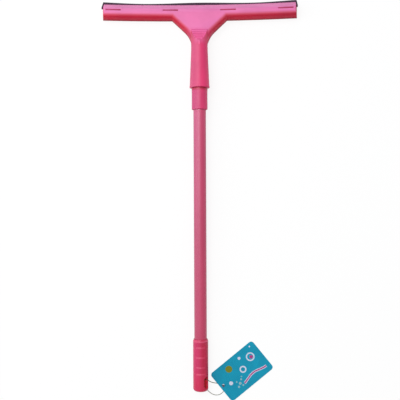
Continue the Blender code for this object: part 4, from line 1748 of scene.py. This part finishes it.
    def build(self) -> None:
        card = PrintedCard("printed_card", self.from_grip_end(self.card_centre),
                           Euler((0.0, self.card_tilt, self.card_turn)))
        tag = dress_node("hang_tag", card.make())
        knot = as_piece(shade(self.knot()), Body.POLE, Slot.LOOP, self.shaded_knot_plastic.make(), "loop_knot")
        points = self.smooth_route()
        strand = self.tube("tag_strand", points, self.diameter / 2)
        as_piece(strand, Body.POLE, Slot.LOOP, self.loop_plastic.make(), "tag_loop")


@dataclass(frozen=True)
class Lamp:
    """Soft square lamp that faces the middle of the tool."""

    name: str
    place: Point
    size: float
    watts: float
    colour: Colour

    def build(self) -> None:
        """Put the lamp into the scene."""
        light = bpy.data.lights.new(self.name, "AREA")
        light.size = self.size
        light.energy = self.watts
        light.color = self.colour
        item = new_object(self.name, light)
        item.location = self.place
        item.rotation_euler = (-Vector(self.place)).to_track_quat("-Z", "Y").to_euler()


@dataclass
class Studio:
    """Pale floor, soft lamps and the camera at the photograph's view."""

    image_size: float = 400.0
    focal_pixels: float = 646.39
    sensor: float = 36.0
    nearest: float = 0.01
    camera_place: Point = (28.94 * MM, -6.52 * MM, 1003.73 * MM)
    camera_turn: Point = (-0.052, 1.678, -0.222)
    lamps: tuple[Lamp, ...] = (
        Lamp("lamp_overhead", (-0.8, 0.9, 2.6), size=2.0, watts=50.0, colour=(0.97, 0.98, 1.0)),
        Lamp("lamp_left", (-1.7, 0.2, 1.0), size=1.0, watts=6.5, colour=(1.0, 0.98, 0.97)),
    )
    white: Colour = (1.0, 1.0, 1.0)
    floor_colour: Colour = (0.86, 0.86, 0.86)
    floor_roughness: float = 0.9
    floor_size: float = 8.0
    floor_glow: float = 1.03
    floor_glow_share: float = 0.84
    world_light: float = 0.45

    def camera(self) -> None:
        """Make the camera that sees the tool as the photograph does."""
        lens = bpy.data.cameras.new("camera")
        lens.sensor_width = self.sensor
        lens.lens = self.focal_pixels / self.image_size * self.sensor
        lens.clip_start = self.nearest
        item = new_object("camera", lens)
        pitch, yaw, roll = (math.radians(angle) for angle in self.camera_turn)
        turn = Matrix.Rotation(pitch, 4, "X") @ Matrix.Rotation(yaw, 4, "Y")
        turn = turn @ Matrix.Rotation(roll, 4, "Z")
        item.matrix_world = Matrix.Translation(self.camera_place) @ turn
        bpy.context.scene.camera = item

    def floor_finish(self) -> bpy.types.Material:
        """Pale material that shows white to the camera and keeps a soft shadow.

        Returns:
            The material.
        """
        sheet = NodeSheet("floor_white")
        sheet.plain(Base_Color=(*self.floor_colour, 1.0), Roughness=self.floor_roughness)
        glow = sheet.node("Emission")
        glow.inputs["Color"].default_value = (*self.white, 1.0)
        glow.inputs["Strength"].default_value = self.floor_glow
        path = sheet.node("LightPath")
        seen = sheet.math("MAXIMUM", path.outputs["Is Camera Ray"], path.outputs["Is Glossy Ray"])
        seen = sheet.math("MAXIMUM", seen, path.outputs["Is Transmission Ray"])
        share = sheet.math("MULTIPLY", seen, self.floor_glow_share)
        mix = sheet.node("MixShader")
        output = sheet.tree.nodes["Material Output"]
        sheet.link(share, mix.inputs["Fac"])
        sheet.link(sheet.shader.outputs["BSDF"], mix.inputs[1])
        sheet.link(glow.outputs["Emission"], mix.inputs[2])
        sheet.link(mix.outputs["Shader"], output.inputs["Surface"])
        return sheet.material

    def floor(self) -> None:
        """Lay the floor."""
        mesh = bpy.data.meshes.new("floor")
        body = bmesh.new()
        bmesh.ops.create_grid(body, x_segments=2, y_segments=2, size=self.floor_size / 2)
        body.to_mesh(mesh)
        body.free()
        mesh.materials.append(self.floor_finish())
        new_object("floor", mesh)

    def world(self) -> None:
        """Even pale light all round, shown as white."""
        world = bpy.data.worlds.new("studio")
        world.use_nodes = True
        bpy.context.scene.world = world
        tree = world.node_tree
        background = tree.nodes["Background"]
        background.inputs["Color"].default_value = (*self.white, 1.0)
        path = tree.nodes.new("ShaderNodeLightPath")
        strength = tree.nodes.new("ShaderNodeMapRange")
        strength.inputs["To Min"].default_value = self.world_light
        strength.inputs["To Max"].default_value = 1.0
        tree.links.new(path.outputs["Is Camera Ray"], strength.inputs["Value"])
        tree.links.new(strength.outputs["Result"], background.inputs["Strength"])

    def build(self) -> None:
        """Set up the view settings, camera, floor, lamps and world."""
        bpy.context.scene.view_settings.view_transform = "Standard"
        self.camera()
        self.floor()
        for lamp in self.lamps:
            lamp.build()
        self.world()


def main() -> None:
    """Build and dress the whole tool."""
    Studio().build()
    axis = HandleAxis.from_frame()
    Head().build(axis)
    PoleEnd().build(axis)
    Pole().build(axis)
    Grip().build(axis)
    TagOnLoop().build()


if __name__ == "__main__":
    main()
